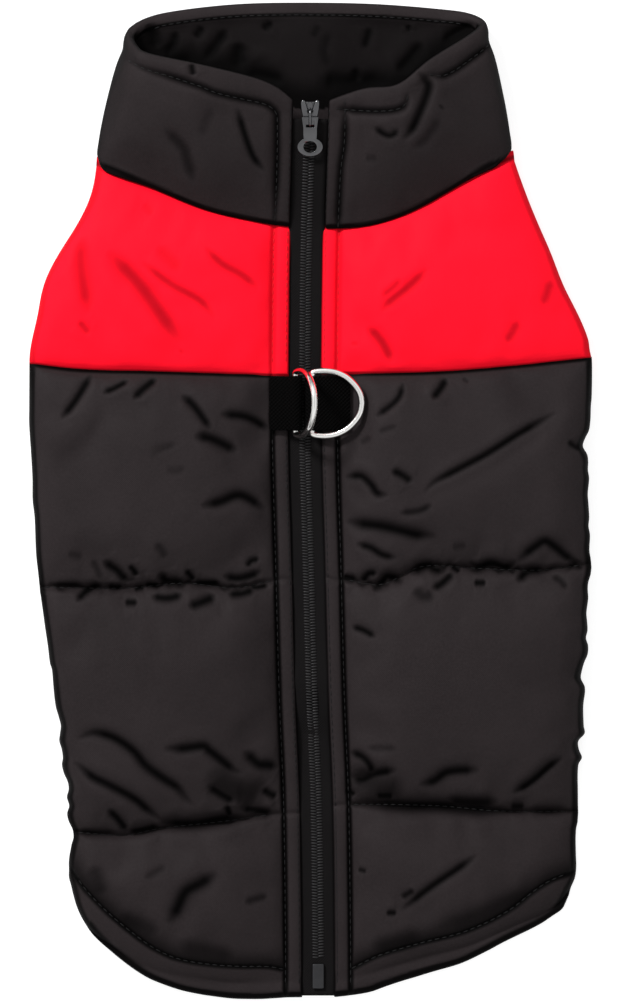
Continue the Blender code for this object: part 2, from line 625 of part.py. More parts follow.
def zip_slider():
    """The slider's plate between and over the tapes, with the bail that holds the pull."""
    base, hinge = slider_frame()
    plate_size = (2 * SLIDER_HALF, SLIDER_LENGTH, PLATE_THICK)
    plate = box("zip_slider", plate_size, (0, 0, PLATE_THICK / 2), METAL, SLIDER_ROUND)
    plate.data.transform(base)
    core = box("slider_core", SLIDER_CORE, (0, 0, SLIDER_CORE_Z), None, 0.6 * SLIDER_ROUND)
    core.data.transform(base)
    bail = bpy.data.curves.new("slider_bail", "CURVE")
    bail.dimensions = "3D"
    bail.bevel_depth = BAIL_WIRE * MM
    bail.bevel_resolution = 2
    bail.use_fill_caps = True
    path = [(-BAIL_HALF, -1.5), (-BAIL_HALF, 0.6), (-BAIL_HALF * 0.7, 1.35), (0, 1.6),
            (BAIL_HALF * 0.7, 1.35), (BAIL_HALF, 0.6), (BAIL_HALF, -1.5)]
    line = bail.splines.new("POLY")
    line.points.add(len(path) - 1)
    for point, (y, z) in zip(line.points, path):
        point.co = (0, y * MM, z * MM, 1)
    wire = as_mesh("slider_bail", bail)
    wire.data.transform(hinge)
    for cutter in (core, wire):
        join = plate.modifiers.new(cutter.name, "BOOLEAN")
        join.operation = "UNION"
        join.object = cutter
        hide_helper(cutter)
    return plate


def as_mesh(name, curve):
    """A curve's tube as a mesh whose caps are welded on."""
    source = bpy.data.objects.new(name + "_curve", curve)
    bpy.context.scene.collection.objects.link(source)
    bpy.context.view_layer.update()
    evaluated = source.evaluated_get(bpy.context.evaluated_depsgraph_get())
    mesh = bpy.data.meshes.new_from_object(evaluated)
    bpy.data.objects.remove(source, do_unlink=True)
    shape = bmesh.new()
    shape.from_mesh(mesh)
    bmesh.ops.remove_doubles(shape, verts=list(shape.verts), dist=0.00001)
    bmesh.ops.recalc_face_normals(shape, faces=list(shape.faces))
    shape.to_mesh(mesh)
    shape.free()
    return new_object(name, mesh, None)


def hide_helper(thing):
    JACKET.objects.unlink(thing)
    HELPERS.objects.link(thing)
    thing.hide_render = True
    thing.display_type = "WIRE"


def zip_pull():
    """The pull tab: a waisted plate with a round eye, hung on the bail by its cross bar."""
    _, hinge = slider_frame()
    top_half, waist = PULL_TOP_HALF, PULL_WAIST_HALF
    start, end = PULL_WAIST_Y
    outline = [(-top_half, PULL_BAR), (top_half, PULL_BAR), (waist, start), (waist, end)]
    for k in range(19):
        angle = PULL_SHOULDER - k * (math.pi + 2 * PULL_SHOULDER) / 18
        outline.append((PULL_END[0] * math.cos(angle), PULL_EYE_Y + PULL_END[1] * math.sin(angle)))
    outline += [(-waist, end), (-waist, start)]
    half, length = PULL_WINDOW
    window = [(-half, -PULL_BAR), (half, -PULL_BAR), (half, -length), (-half, -length)]
    eye = [(PULL_EYE[0] * math.cos(a), PULL_EYE_Y + PULL_EYE[1] * math.sin(a))
           for a in (k * math.tau / 16 for k in range(16))]
    flat = bpy.data.curves.new("zip_pull", "CURVE")
    flat.dimensions = "2D"
    flat.fill_mode = "BOTH"
    flat.extrude = PULL_THICK / 2 * MM
    for loop in (outline, window, eye):
        line = flat.splines.new("POLY")
        line.points.add(len(loop) - 1)
        line.use_cyclic_u = True
        for point, (x, y) in zip(line.points, loop):
            point.co = (x * MM, y * MM, 0, 1)
    tab = as_mesh("zip_pull", flat)
    tab.data.materials.append(METAL)
    tab.matrix_world = hinge
    return tab


def ring(name, bar_x, tilt, look):
    """A steel D-ring: a straight bar along Y and a bow, turned up by tilt about the bar."""
    wire = bpy.data.curves.new(name, "CURVE")
    wire.dimensions = "3D"
    wire.bevel_depth = RING_WIRE * MM
    wire.bevel_resolution = 2
    half = [Vector((0.0, 0.0))] + [Vector(point) for point in BOW]
    smooth = [curve_through(half, 0.5 * k) for k in range(2 * len(half) - 1)]
    path = [(p.x, p.y) for p in smooth] + [(p.x, -p.y) for p in reversed(smooth[1:-1])]
    line = wire.splines.new("POLY")
    line.points.add(len(path) - 1)
    line.use_cyclic_u = True
    for point, (x, y) in zip(line.points, path):
        point.co = (x * MM, y * MM, 0, 1)
    made = as_mesh(name, wire)
    made.data.materials.append(look)
    made.matrix_world = (Matrix.Translation(Vector((bar_x, RING_Y, RING_Z)) * MM)
                         @ Matrix.Rotation(math.radians(-tilt), 4, "Y"))
    return made


def ring_tab(name, bar_x, end_x, look):
    """Webbing folded round a ring's bar: under it, round it and back over, both ends at the stitching."""
    side = 1 if end_x > bar_x else -1
    radius = RING_WIRE + WEB_PLAY + WEB_THICK / 2
    flat_low = RING_Z - RING_WIRE + 0.25
    flat_high = flat_low + WEB_LAYERS
    knee = mix(bar_x, end_x, WEB_KNEE)
    start, turn = WEB_WRAP
    path = [(end_x, flat_low - WEB_SINK), (knee, flat_low - 0.5 * WEB_SINK)]
    for k in range(9):
        angle = -start - k * turn / 8
        path.append((bar_x + side * radius * math.cos(angle), RING_Z + radius * math.sin(angle)))
    path += [(knee, flat_high - 0.5 * WEB_SINK), (end_x, flat_high - WEB_SINK)]
    outer, inner = [], []
    for i, (x, z) in enumerate(path):
        ahead, behind = path[min(i + 1, len(path) - 1)], path[max(i - 1, 0)]
        way = Vector((ahead[0] - behind[0], ahead[1] - behind[1])).normalized()
        out = Vector((way.y, -way.x)) * side * (WEB_THICK / 2)
        outer.append([(x + out.x, RING_Y + w, z + out.y) for w in (-WEB_HALF, WEB_HALF)])
        inner.append([(x - out.x, RING_Y + w, z - out.y) for w in (-WEB_HALF, WEB_HALF)])
    return wall(name, outer, inner, look)


clear_scene()
JACKET = bpy.data.collections.new("dog_puffer_jacket")
HELPERS = bpy.data.collections.new("helpers")
bpy.context.scene.collection.children.link(JACKET)
bpy.context.scene.collection.children.link(HELPERS)
SHELL_BLACK = material("shell_black", (0.030, 0.028, 0.029), 0.55)
SHELL_RED = material("shell_red", (0.90, 0.012, 0.030), 0.5)
WEBBING = material("webbing", (0.012, 0.012, 0.012), 0.8)
TAPE = material("zip_tape", (0.014, 0.014, 0.015), 0.85)
TEETH = material("zip_teeth", (0.030, 0.030, 0.032), 0.4)
METAL = material("zipper_metal", (0.12, 0.12, 0.13), 0.35, 1.0)
STEEL = material("ring_steel", (0.78, 0.77, 0.75), 0.18, 1.0)

belly_panel()
collar()
back_panel("yoke_left", -1, ("collar_seam", "yoke_seam"), (YOKE_PUFF,), YOKE_LEFT_CREASES, SHELL_RED)
back_panel("yoke_right", 1, ("collar_seam", "yoke_seam"), (YOKE_PUFF,), YOKE_RIGHT_CREASES, SHELL_RED)
for label, hand, own_creases, lines in (
    ("body_left", -1, BODY_LEFT_CREASES, LEFT_LINES),
    ("body_right", 1, BODY_RIGHT_CREASES, RIGHT_LINES),
):
    first, last_x = hand * 22.0, hand * 112.0
    gathered = gathers(hand, lines.quilt_upper, first, last_x, True, True)
    gathered += gathers(hand + 3, lines.quilt_lower, first, hand * 104.0, True, False)
    gathered += gathers(hand + 5, lines.yoke_seam, first, last_x, False, True)
    back_panel(label, hand, ("yoke_seam", "quilt_upper", "quilt_lower", "hem"),
               (BODY_PUFF, BODY_PUFF, TAIL_PUFF), own_creases + gathered, SHELL_BLACK)
for label, hand in (("zip_tape_left", -1), ("zip_tape_right", 1)):
    near, far = hand * (CHAIN_HALF + SEAM_GAP), hand * (ZIP_HALF_OPENING - SEAM_GAP)
    strip(label, min(near, far), max(near, far), TAPE_LIFT, TAPE_THICK, RIM_END_Y, HEM_END_Y, TAPE)
chain_lift = TAPE_LIFT - CHAIN_SINK
strip("zip_chain", -CHAIN_HALF, CHAIN_HALF, chain_lift, CHAIN_THICK, CHAIN_TOP_Y, CHAIN_END_Y, TEETH)
box("zip_box", ZIP_BOX_SIZE, (ZIP_MIDDLE(ZIP_BOX_Y), ZIP_BOX_Y, ZIP_BOX_Z), METAL, SLIDER_ROUND)
zip_slider()
zip_pull()
ring("d_ring_right", RING_RIGHT_X, RING_RIGHT_TILT, STEEL)
ring("d_ring_left", RING_LEFT_X, RING_LEFT_TILT, STEEL)
ring_tab("ring_tab_right", RING_RIGHT_X, WEB_RIGHT_END, WEBBING)
ring_tab("ring_tab_left", RING_LEFT_X, WEB_LEFT_END, WEBBING)
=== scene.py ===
"""A dog's puffer jacket, laid flat with its zipped back up: cloth, sewing, zip and rings over the solids."""
import json
import math

import bmesh
import bpy
import numpy as np
from mathutils import Matrix, Vector
from mathutils.bvhtree import BVHTree


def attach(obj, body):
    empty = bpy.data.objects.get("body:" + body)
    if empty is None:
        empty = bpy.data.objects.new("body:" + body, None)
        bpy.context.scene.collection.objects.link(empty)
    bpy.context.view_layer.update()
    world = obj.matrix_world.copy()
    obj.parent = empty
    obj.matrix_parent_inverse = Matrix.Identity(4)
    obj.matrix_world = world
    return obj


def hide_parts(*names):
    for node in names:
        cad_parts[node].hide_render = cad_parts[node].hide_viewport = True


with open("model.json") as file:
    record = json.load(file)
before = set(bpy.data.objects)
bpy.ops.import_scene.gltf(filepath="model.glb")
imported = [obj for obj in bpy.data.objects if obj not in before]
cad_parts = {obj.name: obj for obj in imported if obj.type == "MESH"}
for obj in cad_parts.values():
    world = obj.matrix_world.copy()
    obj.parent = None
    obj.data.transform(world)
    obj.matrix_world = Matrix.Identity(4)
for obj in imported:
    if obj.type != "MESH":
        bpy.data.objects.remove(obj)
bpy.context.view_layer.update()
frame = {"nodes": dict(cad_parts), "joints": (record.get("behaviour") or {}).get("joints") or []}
nodes = frame["nodes"]
scene = bpy.context.scene
MM = 0.001


# The shell cloth: tightly woven nylon, black or red, with a low shine and a crinkled hand.
# Its weave, crinkle and faint shade differences come from one group, so both colours are the same cloth.
def new_group(name, inputs, outputs):
    """A shader group with named float or colour sockets; also what it is given and what it gives."""
    group = bpy.data.node_groups.new(name, "ShaderNodeTree")
    for socket, value in inputs.items():
        kind = "NodeSocketColor" if isinstance(value, tuple) else "NodeSocketFloat"
        made = group.interface.new_socket(socket, in_out="INPUT", socket_type=kind)
        made.default_value = value
    for socket, kind in outputs.items():
        group.interface.new_socket(socket, in_out="OUTPUT", socket_type=kind)
    return group, group.nodes.new("NodeGroupInput").outputs, group.nodes.new("NodeGroupOutput").inputs


def add_node(tree, kind, settings=None, **inputs):
    """A node with its settings; an input may be a value or another node's socket."""
    node = tree.nodes.new("ShaderNode" + kind)
    for key, value in (settings or {}).items():
        setattr(node, key, value)
    for key, value in inputs.items():
        socket = node.inputs[int(key[1:])] if key[1:].isdigit() and key[0] == "i" else node.inputs[key]
        if isinstance(value, bpy.types.NodeSocket):
            tree.links.new(value, socket)
        else:
            socket.default_value = value
    return node


def math_node(tree, operation, first, second=0.0, third=0.0):
    return add_node(tree, "Math", {"operation": operation}, i0=first, i1=second, i2=third).outputs[0]


woven, given, result = new_group(
    "woven_cloth",
    {"Color": (0.03, 0.03, 0.03, 1.0), "Shade": 0.12, "Roughness": 0.6, "Thread Width": 0.0005, "Weave": 0.1,
     "Crinkle": 0.5, "Seam": 0.0, "Seam Shade": 0.8, "Fold": 0.0, "Fold Shade": 0.8},
    {"Color": "NodeSocketColor", "Roughness": "NodeSocketFloat", "Height": "NodeSocketFloat"},
)
THREAD_TONE = 0.25  # the threads' share in the uneven shade
CRINKLE_DULLNESS = 0.12
FOLD_DULLNESS = 0.2
place = add_node(woven, "TexCoord").outputs["Object"]
split = add_node(woven, "SeparateXYZ", i0=place)
turns = math_node(woven, "DIVIDE", math.pi, given["Thread Width"])
warp, weft = (math_node(woven, "SINE", math_node(woven, "MULTIPLY", split.outputs[k], turns)) for k in (0, 1))
threads = math_node(woven, "MULTIPLY", warp, weft)
shade_noise, slub_noise, crinkle_noise = (
    add_node(woven, "TexNoise", Vector=place, Scale=scale, Detail=detail, Roughness=rough, Distortion=bent)
    for scale, detail, rough, bent in ((30.0, 3.0, 0.55, 0.0), (900.0, 2.0, 0.6, 0.0), (150.0, 3.0, 0.6, 0.5))
)
patches, slubs, crinkles = (math_node(woven, "SUBTRACT", noise.outputs[0], 0.5)
                            for noise in (shade_noise, slub_noise, crinkle_noise))
uneven = math_node(woven, "MULTIPLY_ADD", threads, THREAD_TONE, math_node(woven, "ADD", patches, slubs))
tone = math_node(woven, "MULTIPLY_ADD", uneven, given["Shade"], 1.0)
# Painted shade: the mesh's seam and fold values darken the colour where shade falls in grooves and creases.
for darker in ("Seam", "Fold"):
    loss = math_node(woven, "MULTIPLY", given[darker], given[darker + " Shade"])
    tone = math_node(woven, "MULTIPLY", tone, math_node(woven, "SUBTRACT", 1.0, loss))
toned = add_node(woven, "VectorMath", {"operation": "SCALE"}, i0=given["Color"], Scale=tone)
dull = math_node(woven, "MULTIPLY_ADD", crinkles, CRINKLE_DULLNESS, given["Roughness"])
dull = math_node(woven, "MULTIPLY_ADD", given["Fold"], FOLD_DULLNESS, dull)
height = math_node(woven, "MULTIPLY", threads, given["Weave"])
height = math_node(woven, "MULTIPLY_ADD", crinkle_noise.outputs[0], given["Crinkle"], height)
woven.links.new(toned.outputs[0], result["Color"])
woven.links.new(dull, result["Roughness"])
woven.links.new(height, result["Height"])


def new_material(name):
    """A material, its node tree and its shader's inputs."""
    made = bpy.data.materials.new(name)
    made.use_nodes = True
    return made, made.node_tree, made.node_tree.nodes["Principled BSDF"].inputs


def cloth_material(name, colour, roughness, gloss, shade, seam_shade=0.8, fold_shade=0.8,
                   thread_width=0.00045, weave=0.06, crinkle=0.5, depth=0.0004):
    """A woven cloth darkened by painted shade in its seams and folds, read from the mesh's own values for
    them.
    """
    made, tree, shader = new_material(name)
    shader["Specular IOR Level"].default_value = gloss
    cloth = tree.nodes.new("ShaderNodeGroup")
    cloth.node_tree = woven
    for socket, value in {"Color": (*colour, 1.0), "Shade": shade, "Roughness": roughness,
                          "Seam Shade": seam_shade, "Fold Shade": fold_shade, "Thread Width": thread_width,
                          "Weave": weave, "Crinkle": crinkle}.items():
        cloth.inputs[socket].default_value = value
    for darker in ("Seam", "Fold"):
        stored = add_node(tree, "Attribute", {"attribute_name": darker.lower()})
        tree.links.new(stored.outputs["Fac"], cloth.inputs[darker])
    bump = add_node(tree, "Bump", Height=cloth.outputs["Height"], Strength=1.0, Distance=depth)
    tree.links.new(cloth.outputs["Color"], shader["Base Color"])
    tree.links.new(cloth.outputs["Roughness"], shader["Roughness"])
    tree.links.new(bump.outputs[0], shader["Normal"])
    return made


black_nylon = cloth_material("black_nylon", (0.0185, 0.0149, 0.0156), roughness=0.55, gloss=0.03, shade=0.45,
                             seam_shade=0.96, fold_shade=0.95)
red_nylon = cloth_material("red_nylon", (0.90, 0.0047, 0.0188), roughness=0.6, gloss=0.04, shade=0.10,
                           seam_shade=0.75, fold_shade=0.55)


# The back's lower half: two black panels of nylon over polyester wadding, quilted across at two lines and
# turned under at the hem. Each is blown up by a cloth simulation between its seams, and then gets its own
# listed creases, most of which gather at the stitching. Places are in millimetres.
def smooth_line(*points):
    """A smooth line through points (at, value), both in millimetres; read with arrays."""
    at, value = np.array(sorted(points), float).T
    slope = np.gradient(value, at)
    slope[1:-1] = (value[2:] - value[:-2]) / (at[2:] - at[:-2])

    def read(where):
        where = np.clip(np.asarray(where, float), at[0], at[-1])
        i = np.clip(np.searchsorted(at, where, side="right") - 1, 0, len(at) - 2)
        step = at[i + 1] - at[i]
        t = (where - at[i]) / step
        bends = (t**3 - 2 * t**2 + t) * slope[i] + (t**3 - t**2) * slope[i + 1]
        return (2 * t**3 - 3 * t**2 + 1) * value[i] + (3 * t**2 - 2 * t**3) * value[i + 1] + bends * step

    return read


def rounded_path(corners, steps):
    """A smooth path through corners, with steps points from each to the next."""
    corners = [np.array(c, float) for c in corners]
    path = []
    for i in range(len(corners) - 1):
        before, a = corners[max(i - 1, 0)], corners[i]
        b, after = corners[i + 1], corners[min(i + 2, len(corners) - 1)]
        for k in range(steps):
            t = k / steps
            path.append(0.5 * (2 * a + (b - before) * t + (2 * before - 5 * a + 4 * b - after) * t**2
                               + (3 * a - before - 3 * b + after) * t**3))
    return path + [corners[-1]]


def fade(value, low, high):
    """1 below low, 0 above high, smooth between; on arrays."""
    t = np.clip((value - low) / (high - low), 0.0, 1.0)
    return 1 - t * t * (3 - 2 * t)


def groove(distance, width, power=2):
    """1 on a line and 0 away from it, as wide as width; a higher power makes its edges steeper."""
    return np.exp(-((distance / width) ** power))


def deselect_all():
    for thing in bpy.context.selected_objects:
        thing.select_set(False)


def make_active(piece):
    deselect_all()
    piece.select_set(True)
    bpy.context.view_layer.objects.active = piece


def apply_subdivision(piece, levels=1):
    make_active(piece)
    finer = piece.modifiers.new("Finer", "SUBSURF")
    finer.levels = finer.render_levels = levels
    finer.boundary_smooth = "PRESERVE_CORNERS"
    bpy.ops.object.modifier_apply(modifier=finer.name)


def copy_of_node(name, node):
    """A copy of a solid as one welded mesh of quads."""
    mesh = nodes[node].data.copy()
    piece = bpy.data.objects.new(name, mesh)
    scene.collection.objects.link(piece)
    shape = bmesh.new()
    shape.from_mesh(mesh)
    bmesh.ops.remove_doubles(shape, verts=list(shape.verts), dist=1e-5)
    bmesh.ops.dissolve_limit(shape, angle_limit=0.0005, verts=list(shape.verts), edges=list(shape.edges))
    bmesh.ops.triangulate(shape, faces=[face for face in shape.faces if len(face.verts) > 4])
    bmesh.ops.join_triangles(shape, faces=list(shape.faces), angle_face_threshold=math.pi,
                             angle_shape_threshold=math.pi)
    shape.to_mesh(mesh)
    shape.free()
    mesh.materials.clear()
    return piece


def split_faces(piece, wanted):
    """Splits each face with a wanted point in four, so that narrow creases have points to lie on."""
    shape = bmesh.new()
    shape.from_mesh(piece.data)
    edges = {edge for face in shape.faces if any(wanted[v.index] for v in face.verts) for edge in face.edges}
    bmesh.ops.subdivide_edges(shape, edges=list(edges), cuts=1, use_grid_fill=True)
    bmesh.ops.triangulate(shape, faces=[face for face in shape.faces if len(face.verts) > 4])
    shape.to_mesh(piece.data)
    shape.free()


def read_points(mesh, what="co"):
    """The vertices' places in millimetres, or their normals."""
    flat = np.empty(len(mesh.vertices) * 3)
    mesh.vertices.foreach_get(what, flat)
    return flat.reshape(-1, 3) / (MM if what == "co" else 1.0)


def write_points(mesh, points):
    mesh.vertices.foreach_set("co", (points * MM).ravel())
    mesh.update()


EVENING = 0.6  # the part of the way to its neighbours' mean that a loose point goes in one round


def even_out(piece, loose, rounds):
    """Moves each point towards the mean of its neighbours, as far as loose, 0 to 1, lets it."""
    mesh = piece.data
    edges = np.empty(len(mesh.edges) * 2, dtype=np.int64)
    mesh.edges.foreach_get("vertices", edges)
    first, second = edges.reshape(-1, 2).T
    count = np.maximum(np.bincount(edges, minlength=len(mesh.vertices)), 1)
    points = read_points(mesh)
    ends = ((first, second), (second, first))
    for _ in range(rounds):
        total = np.stack([sum(np.bincount(here, points[there, k], len(points)) for here, there in ends)
                          for k in range(3)], axis=1)
        points += EVENING * loose[:, None] * (total / count[:, None] - points)
    write_points(mesh, points)


def blow_up(piece, held, pressure, slack, cap, frames=16):
    """A cloth simulation: slack cloth under light pressure, pinned where held is 1, moved cap mm at most."""
    before = read_points(piece.data)
    group = piece.vertex_groups.new(name="held")
    for number, weight in enumerate(held):
        if weight > 0.001:
            group.add([number], float(weight), "REPLACE")
    make_active(piece)
    cloth = piece.modifiers.new("Cloth", "CLOTH")
    settings = cloth.settings
    settings.quality = 5
    settings.mass = 0.3
    settings.tension_stiffness = settings.compression_stiffness = 15
    settings.shear_stiffness = 7.5
    settings.bending_stiffness = 0.02
    settings.air_damping = 2
    settings.vertex_group_mass = "held"
    settings.pin_stiffness = 5
    settings.use_pressure = True
    settings.uniform_pressure_force = pressure
    settings.shrink_min = settings.shrink_max = -slack
    settings.effector_weights.gravity = 0
    cloth.collision_settings.use_collision = False
    cloth.point_cache.frame_end = frames
    for number in range(1, frames + 1):
        scene.frame_set(number)
    settled = piece.evaluated_get(bpy.context.evaluated_depsgraph_get())
    moved = read_points(settled.data) - before
    reach = np.linalg.norm(moved, axis=1)
    soft = cap * np.tanh(reach / cap) / np.maximum(reach, 1e-9)
    piece.modifiers.remove(cloth)
    piece.vertex_groups.clear()
    scene.frame_set(1)
    write_points(piece.data, before + moved * soft[:, None])
    even_out(piece, 1 - held, 3)


FAR = 99.0  # a distance that stands for none
DARKEST_FROM = 0.9  # the depth from which a crease is as dark as can be
CREASE_REACH = 3.2  # the widths beside a crease's middle in which it needs a finer mesh


def crease_fields(points, creases):
    """What creases do at each point: their push in millimetres, their painted shade, and the closest one's
    distance.

    A crease is its width, its depth and a path of (x, y) points. It is a narrow trough with a softer ridge on
    each side, and runs out at both ends; a short one is narrower. The distance is counted in widths.
    """
    push, dark = np.zeros(len(points)), np.zeros(len(points))
    near = np.full(len(points), FAR)
    for width, depth, *corners in creases:
        path = np.array(rounded_path(corners, 5))
        low, high = path.min(axis=0) - 4 * width, path.max(axis=0) + 4 * width
        inside = np.flatnonzero(np.all((points[:, :2] > low) & (points[:, :2] < high), axis=1))
        at = points[inside, :2]
        steps = np.linalg.norm(np.diff(path, axis=0), axis=1)
        run = np.concatenate([[0], np.cumsum(steps)])
        away, along = np.full(len(at), FAR), np.zeros(len(at))
        for k, step in enumerate(steps):
            way = (path[k + 1] - path[k]) / step
            t = np.clip((at - path[k]) @ way, 0, step)
            apart = np.linalg.norm(at - path[k] - t[:, None] * way, axis=1)
            nearer = apart < away
            away[nearer] = apart[nearer]
            along[nearer] = (run[k] + t[nearer]) / run[-1]
        taper = np.clip(5 * np.minimum(along, 1 - along), 0, 1) ** 0.75
        slim = min(width, run[-1] / 3.5) * (0.45 + 0.55 * taper)
        trough, ridge = groove(away, 0.9 * slim), groove(away - 2.3 * slim, 1.5 * slim)
        push[inside] += depth * taper * (0.3 * ridge - 0.9 * trough)
        shade = min(depth / DARKEST_FROM, 1.0) * taper * groove(away, slim, 2.2)
        dark[inside] = np.maximum(dark[inside], shade)
        near[inside] = np.minimum(near[inside], away / width)
    return push, dark, near


def store_shades(piece, seam=0.0, fold=0.0):
    """Stores each point's painted shade, 0 to 1, as its seam and fold values, which darken the cloth."""
    for name, value in (("seam", seam), ("fold", fold)):
        stored = piece.data.attributes.new(name, "FLOAT", "POINT")
        stored.data.foreach_set("value", np.full(len(piece.data.vertices), value, dtype=np.float32))


def finish_piece(piece, look, node=None, body="root"):
    """Material, body and the solid that the piece stands for."""
    piece.data.materials.clear()
    piece.data.materials.append(look)
    piece.data.shade_smooth()
    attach(piece, body)
    if node:
        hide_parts(node)


ZIP_MIDDLE = smooth_line((230, 0.2), (185, 0.2), (131, -1.4), (92, -2.1), (28, -2.3), (-32, -0.7), (-92, 0.9),
                         (-138, 2.8), (-202, 3.7), (-232, 3.7))
ZIP_HALF_OPENING = 7.2  # from the zip's middle to the cloth's edge
PLACKET_WIDTH = 7.8  # from that edge to the row beside it
OUTWARD = {"left": -1, "right": 1}  # which way x runs from the zip
SIDES = {
    "left": smooth_line(
        (155, -98.3), (140, -101.2), (126.5, -108), (113, -116.8), (99, -123.7), (85, -126), (71, -129.3),
        (57, -129.7), (30, -129.3), (-5, -127.4), (-39, -125.1), (-67, -121), (-101, -115.5), (-129, -112.7),
        (-156, -109.6), (-170, -111), (-184, -108.6), (-191, -106), (-197.8, -101.2)),
    "right": smooth_line(
        (157.8, 93.4), (140, 99.8), (126.5, 105.3), (113, 111.3), (99, 116.4), (85, 123.7), (71, 129.3),
        (50, 129.7), (35, 128.6), (23, 126), (16, 127.9), (-25, 129.2), (-60, 127.6), (-80.5, 124.7),
        (-87, 126.4), (-101, 126), (-118, 123.5), (-156, 122.5), (-170, 122), (-181, 119.5)),
}
COLLAR_SEAMS = {
    "left": smooth_line((-98.3, 155), (-71.8, 144), (-47.4, 134), (-22.5, 128.3), (-8.6, 126.3)),
    "right": smooth_line(
        (93.4, 157.8), (81.9, 153.6), (63.5, 142.6), (45, 132.6), (26.7, 126.8), (5.8, 125.4)),
}
YOKE_SEAMS = {
    "left": smooth_line((-129.7, 62.6), (-107, 59.8), (-72, 58.8), (-19, 57.2), (-9.4, 57)),
    "right": smooth_line((129.7, 65.2), (92, 61.2), (57, 58.6), (20.7, 58), (5, 58)),
}
UPPER_QUILTING = {
    "left": smooth_line((-125, -40), (-84, -40.4), (-58, -38.2), (-34, -40.4), (-19, -37.4), (-8, -37.2)),
    "right": smooth_line((128.8, -29.4), (105, -32.2), (77, -31.4), (51, -30.6), (33, -38.8), (16, -36.6),
                         (6.5, -36.4)),
}
LOWER_QUILTING = {
    "left": smooth_line(
        (-110.5, -153), (-85, -154.4), (-69, -151.3), (-40, -148.1), (-18, -145), (-4.5, -144.4)),
    "right": smooth_line((123, -143.5), (86, -143.3), (59, -140.9), (23, -140.3), (10, -141)),
}
HEMS = {
    "left": smooth_line((-101.2, -197.8), (-94.3, -205.6), (-87.4, -211.6), (-80.5, -216.7), (-73.6, -220.8),
                        (-59.8, -225.9), (-46, -228.6), (-32, -230), (-3.5, -229.6)),
    "right": smooth_line(
        (119.5, -181), (112.7, -190.4), (106, -195), (92, -201.9), (71, -212.6), (57.5, -216.7), (37, -223),
        (23, -228), (10.9, -229.6)),
}
HEM_ROWS = {
    "left": smooth_line(
        (-112, -167), (-107.1, -174), (-103, -179.4), (-93.8, -188.8), (-83.8, -197.3), (-71.9, -206),
        (-60.9, -211), (-45.8, -213.7), (-30.7, -214.7), (-19.2, -214.9), (-11.5, -216.5)),
    "right": smooth_line(
        (18.3, -216.5), (25.2, -212.8), (32, -209.6), (44.9, -205.6), (54.9, -202.8), (65, -200.5),
        (72.3, -198.2), (83.3, -193.4), (93.8, -187.2), (101.6, -180.8), (108.9, -175.8), (115.8, -172.8),
        (122, -170.5)),
}
SIDE_WAVES = {  # how far the cloth's side stands out past the solid's, as (y, distance)
    "left": smooth_line(
        (155, 0), (110, -0.4), (69, -0.4), (43, -0.1), (36, 0.1), (21, -0.2), (10, -0.2), (0, 0.3),
        (-8, -0.1), (-25, 0.2), (-34, -0.1), (-56, -0.2), (-67, 0), (-75, 0.3), (-78, -0.1), (-86, 0.5),
        (-95, 0.9), (-100, 0.3), (-104, -0.1), (-108, 0.8), (-111, 1.4), (-115, 0.7), (-119, 0.6),
        (-122, 1.3), (-126, 0.8), (-130, -0.5), (-133.5, -0.5), (-137, 0.8), (-141, 0.3), (-144.5, 1.7),
        (-148, 1.5), (-152, 0.1), (-155.5, -0.1), (-159, 0.7), (-163, 0.8), (-170, 0.5), (-174, 0.8),
        (-178, 0.5), (-192, 0.4), (-200, 1)),
    "right": smooth_line(
        (155, 0.3), (92, 0.3), (74, -0.1), (69, -0.6), (65, -0.1), (58, 0.1), (47, 0.3), (43, 0.2), (36, 0.7),
        (32, 0.8), (28.5, -0.2), (24.8, -0.8), (21, 1), (17.5, 1), (14, 0.4), (10, 0.6), (3, -0.4),
        (-1, -0.3), (-8, -0.1), (-12, -0.5), (-16, 0.1), (-23, -0.2), (-27, 0.4), (-30, 0.7), (-34, 0.5),
        (-38, -0.5), (-41, -0.6), (-45, -0.2), (-52, -0.6), (-56, 0), (-60, 0.5), (-63.5, 0.2), (-67, 1.7),
        (-71, 2.1), (-74.5, 1.1), (-78, 0.3), (-82, -0.4), (-86, 0.9), (-93, -0.2), (-97, -0.2), (-104, 0.8),
        (-107.6, 1.8), (-111, -0.5), (-115, 0.3), (-118.7, 2.1), (-122, 0.7), (-137, 1.1), (-148, 1.2),
        (-152, 0.5), (-163, 0.6), (-170, 1.1), (-174, 1.3), (-178, 0.3), (-181, 0.2), (-185, 1.3),
        (-188.6, 3), (-192, 1.5)),
}
HEM_WAVES = {"left": 0.5, "right": 1.0}  # how far its hem reaches past the solid's
SEAM_CLOSING = 0.3  # how far a panel's edge reaches into the gap at its seam
SEAM_LAP = 1.3  # how far it reaches below the surface, in the seam allowance
CORNER_CLOSING = 2.4  # how much further the yoke's outer corner slips under the collar
GROOVE_DEPTH = 0.9  # how deep the stitching lies in the cloth
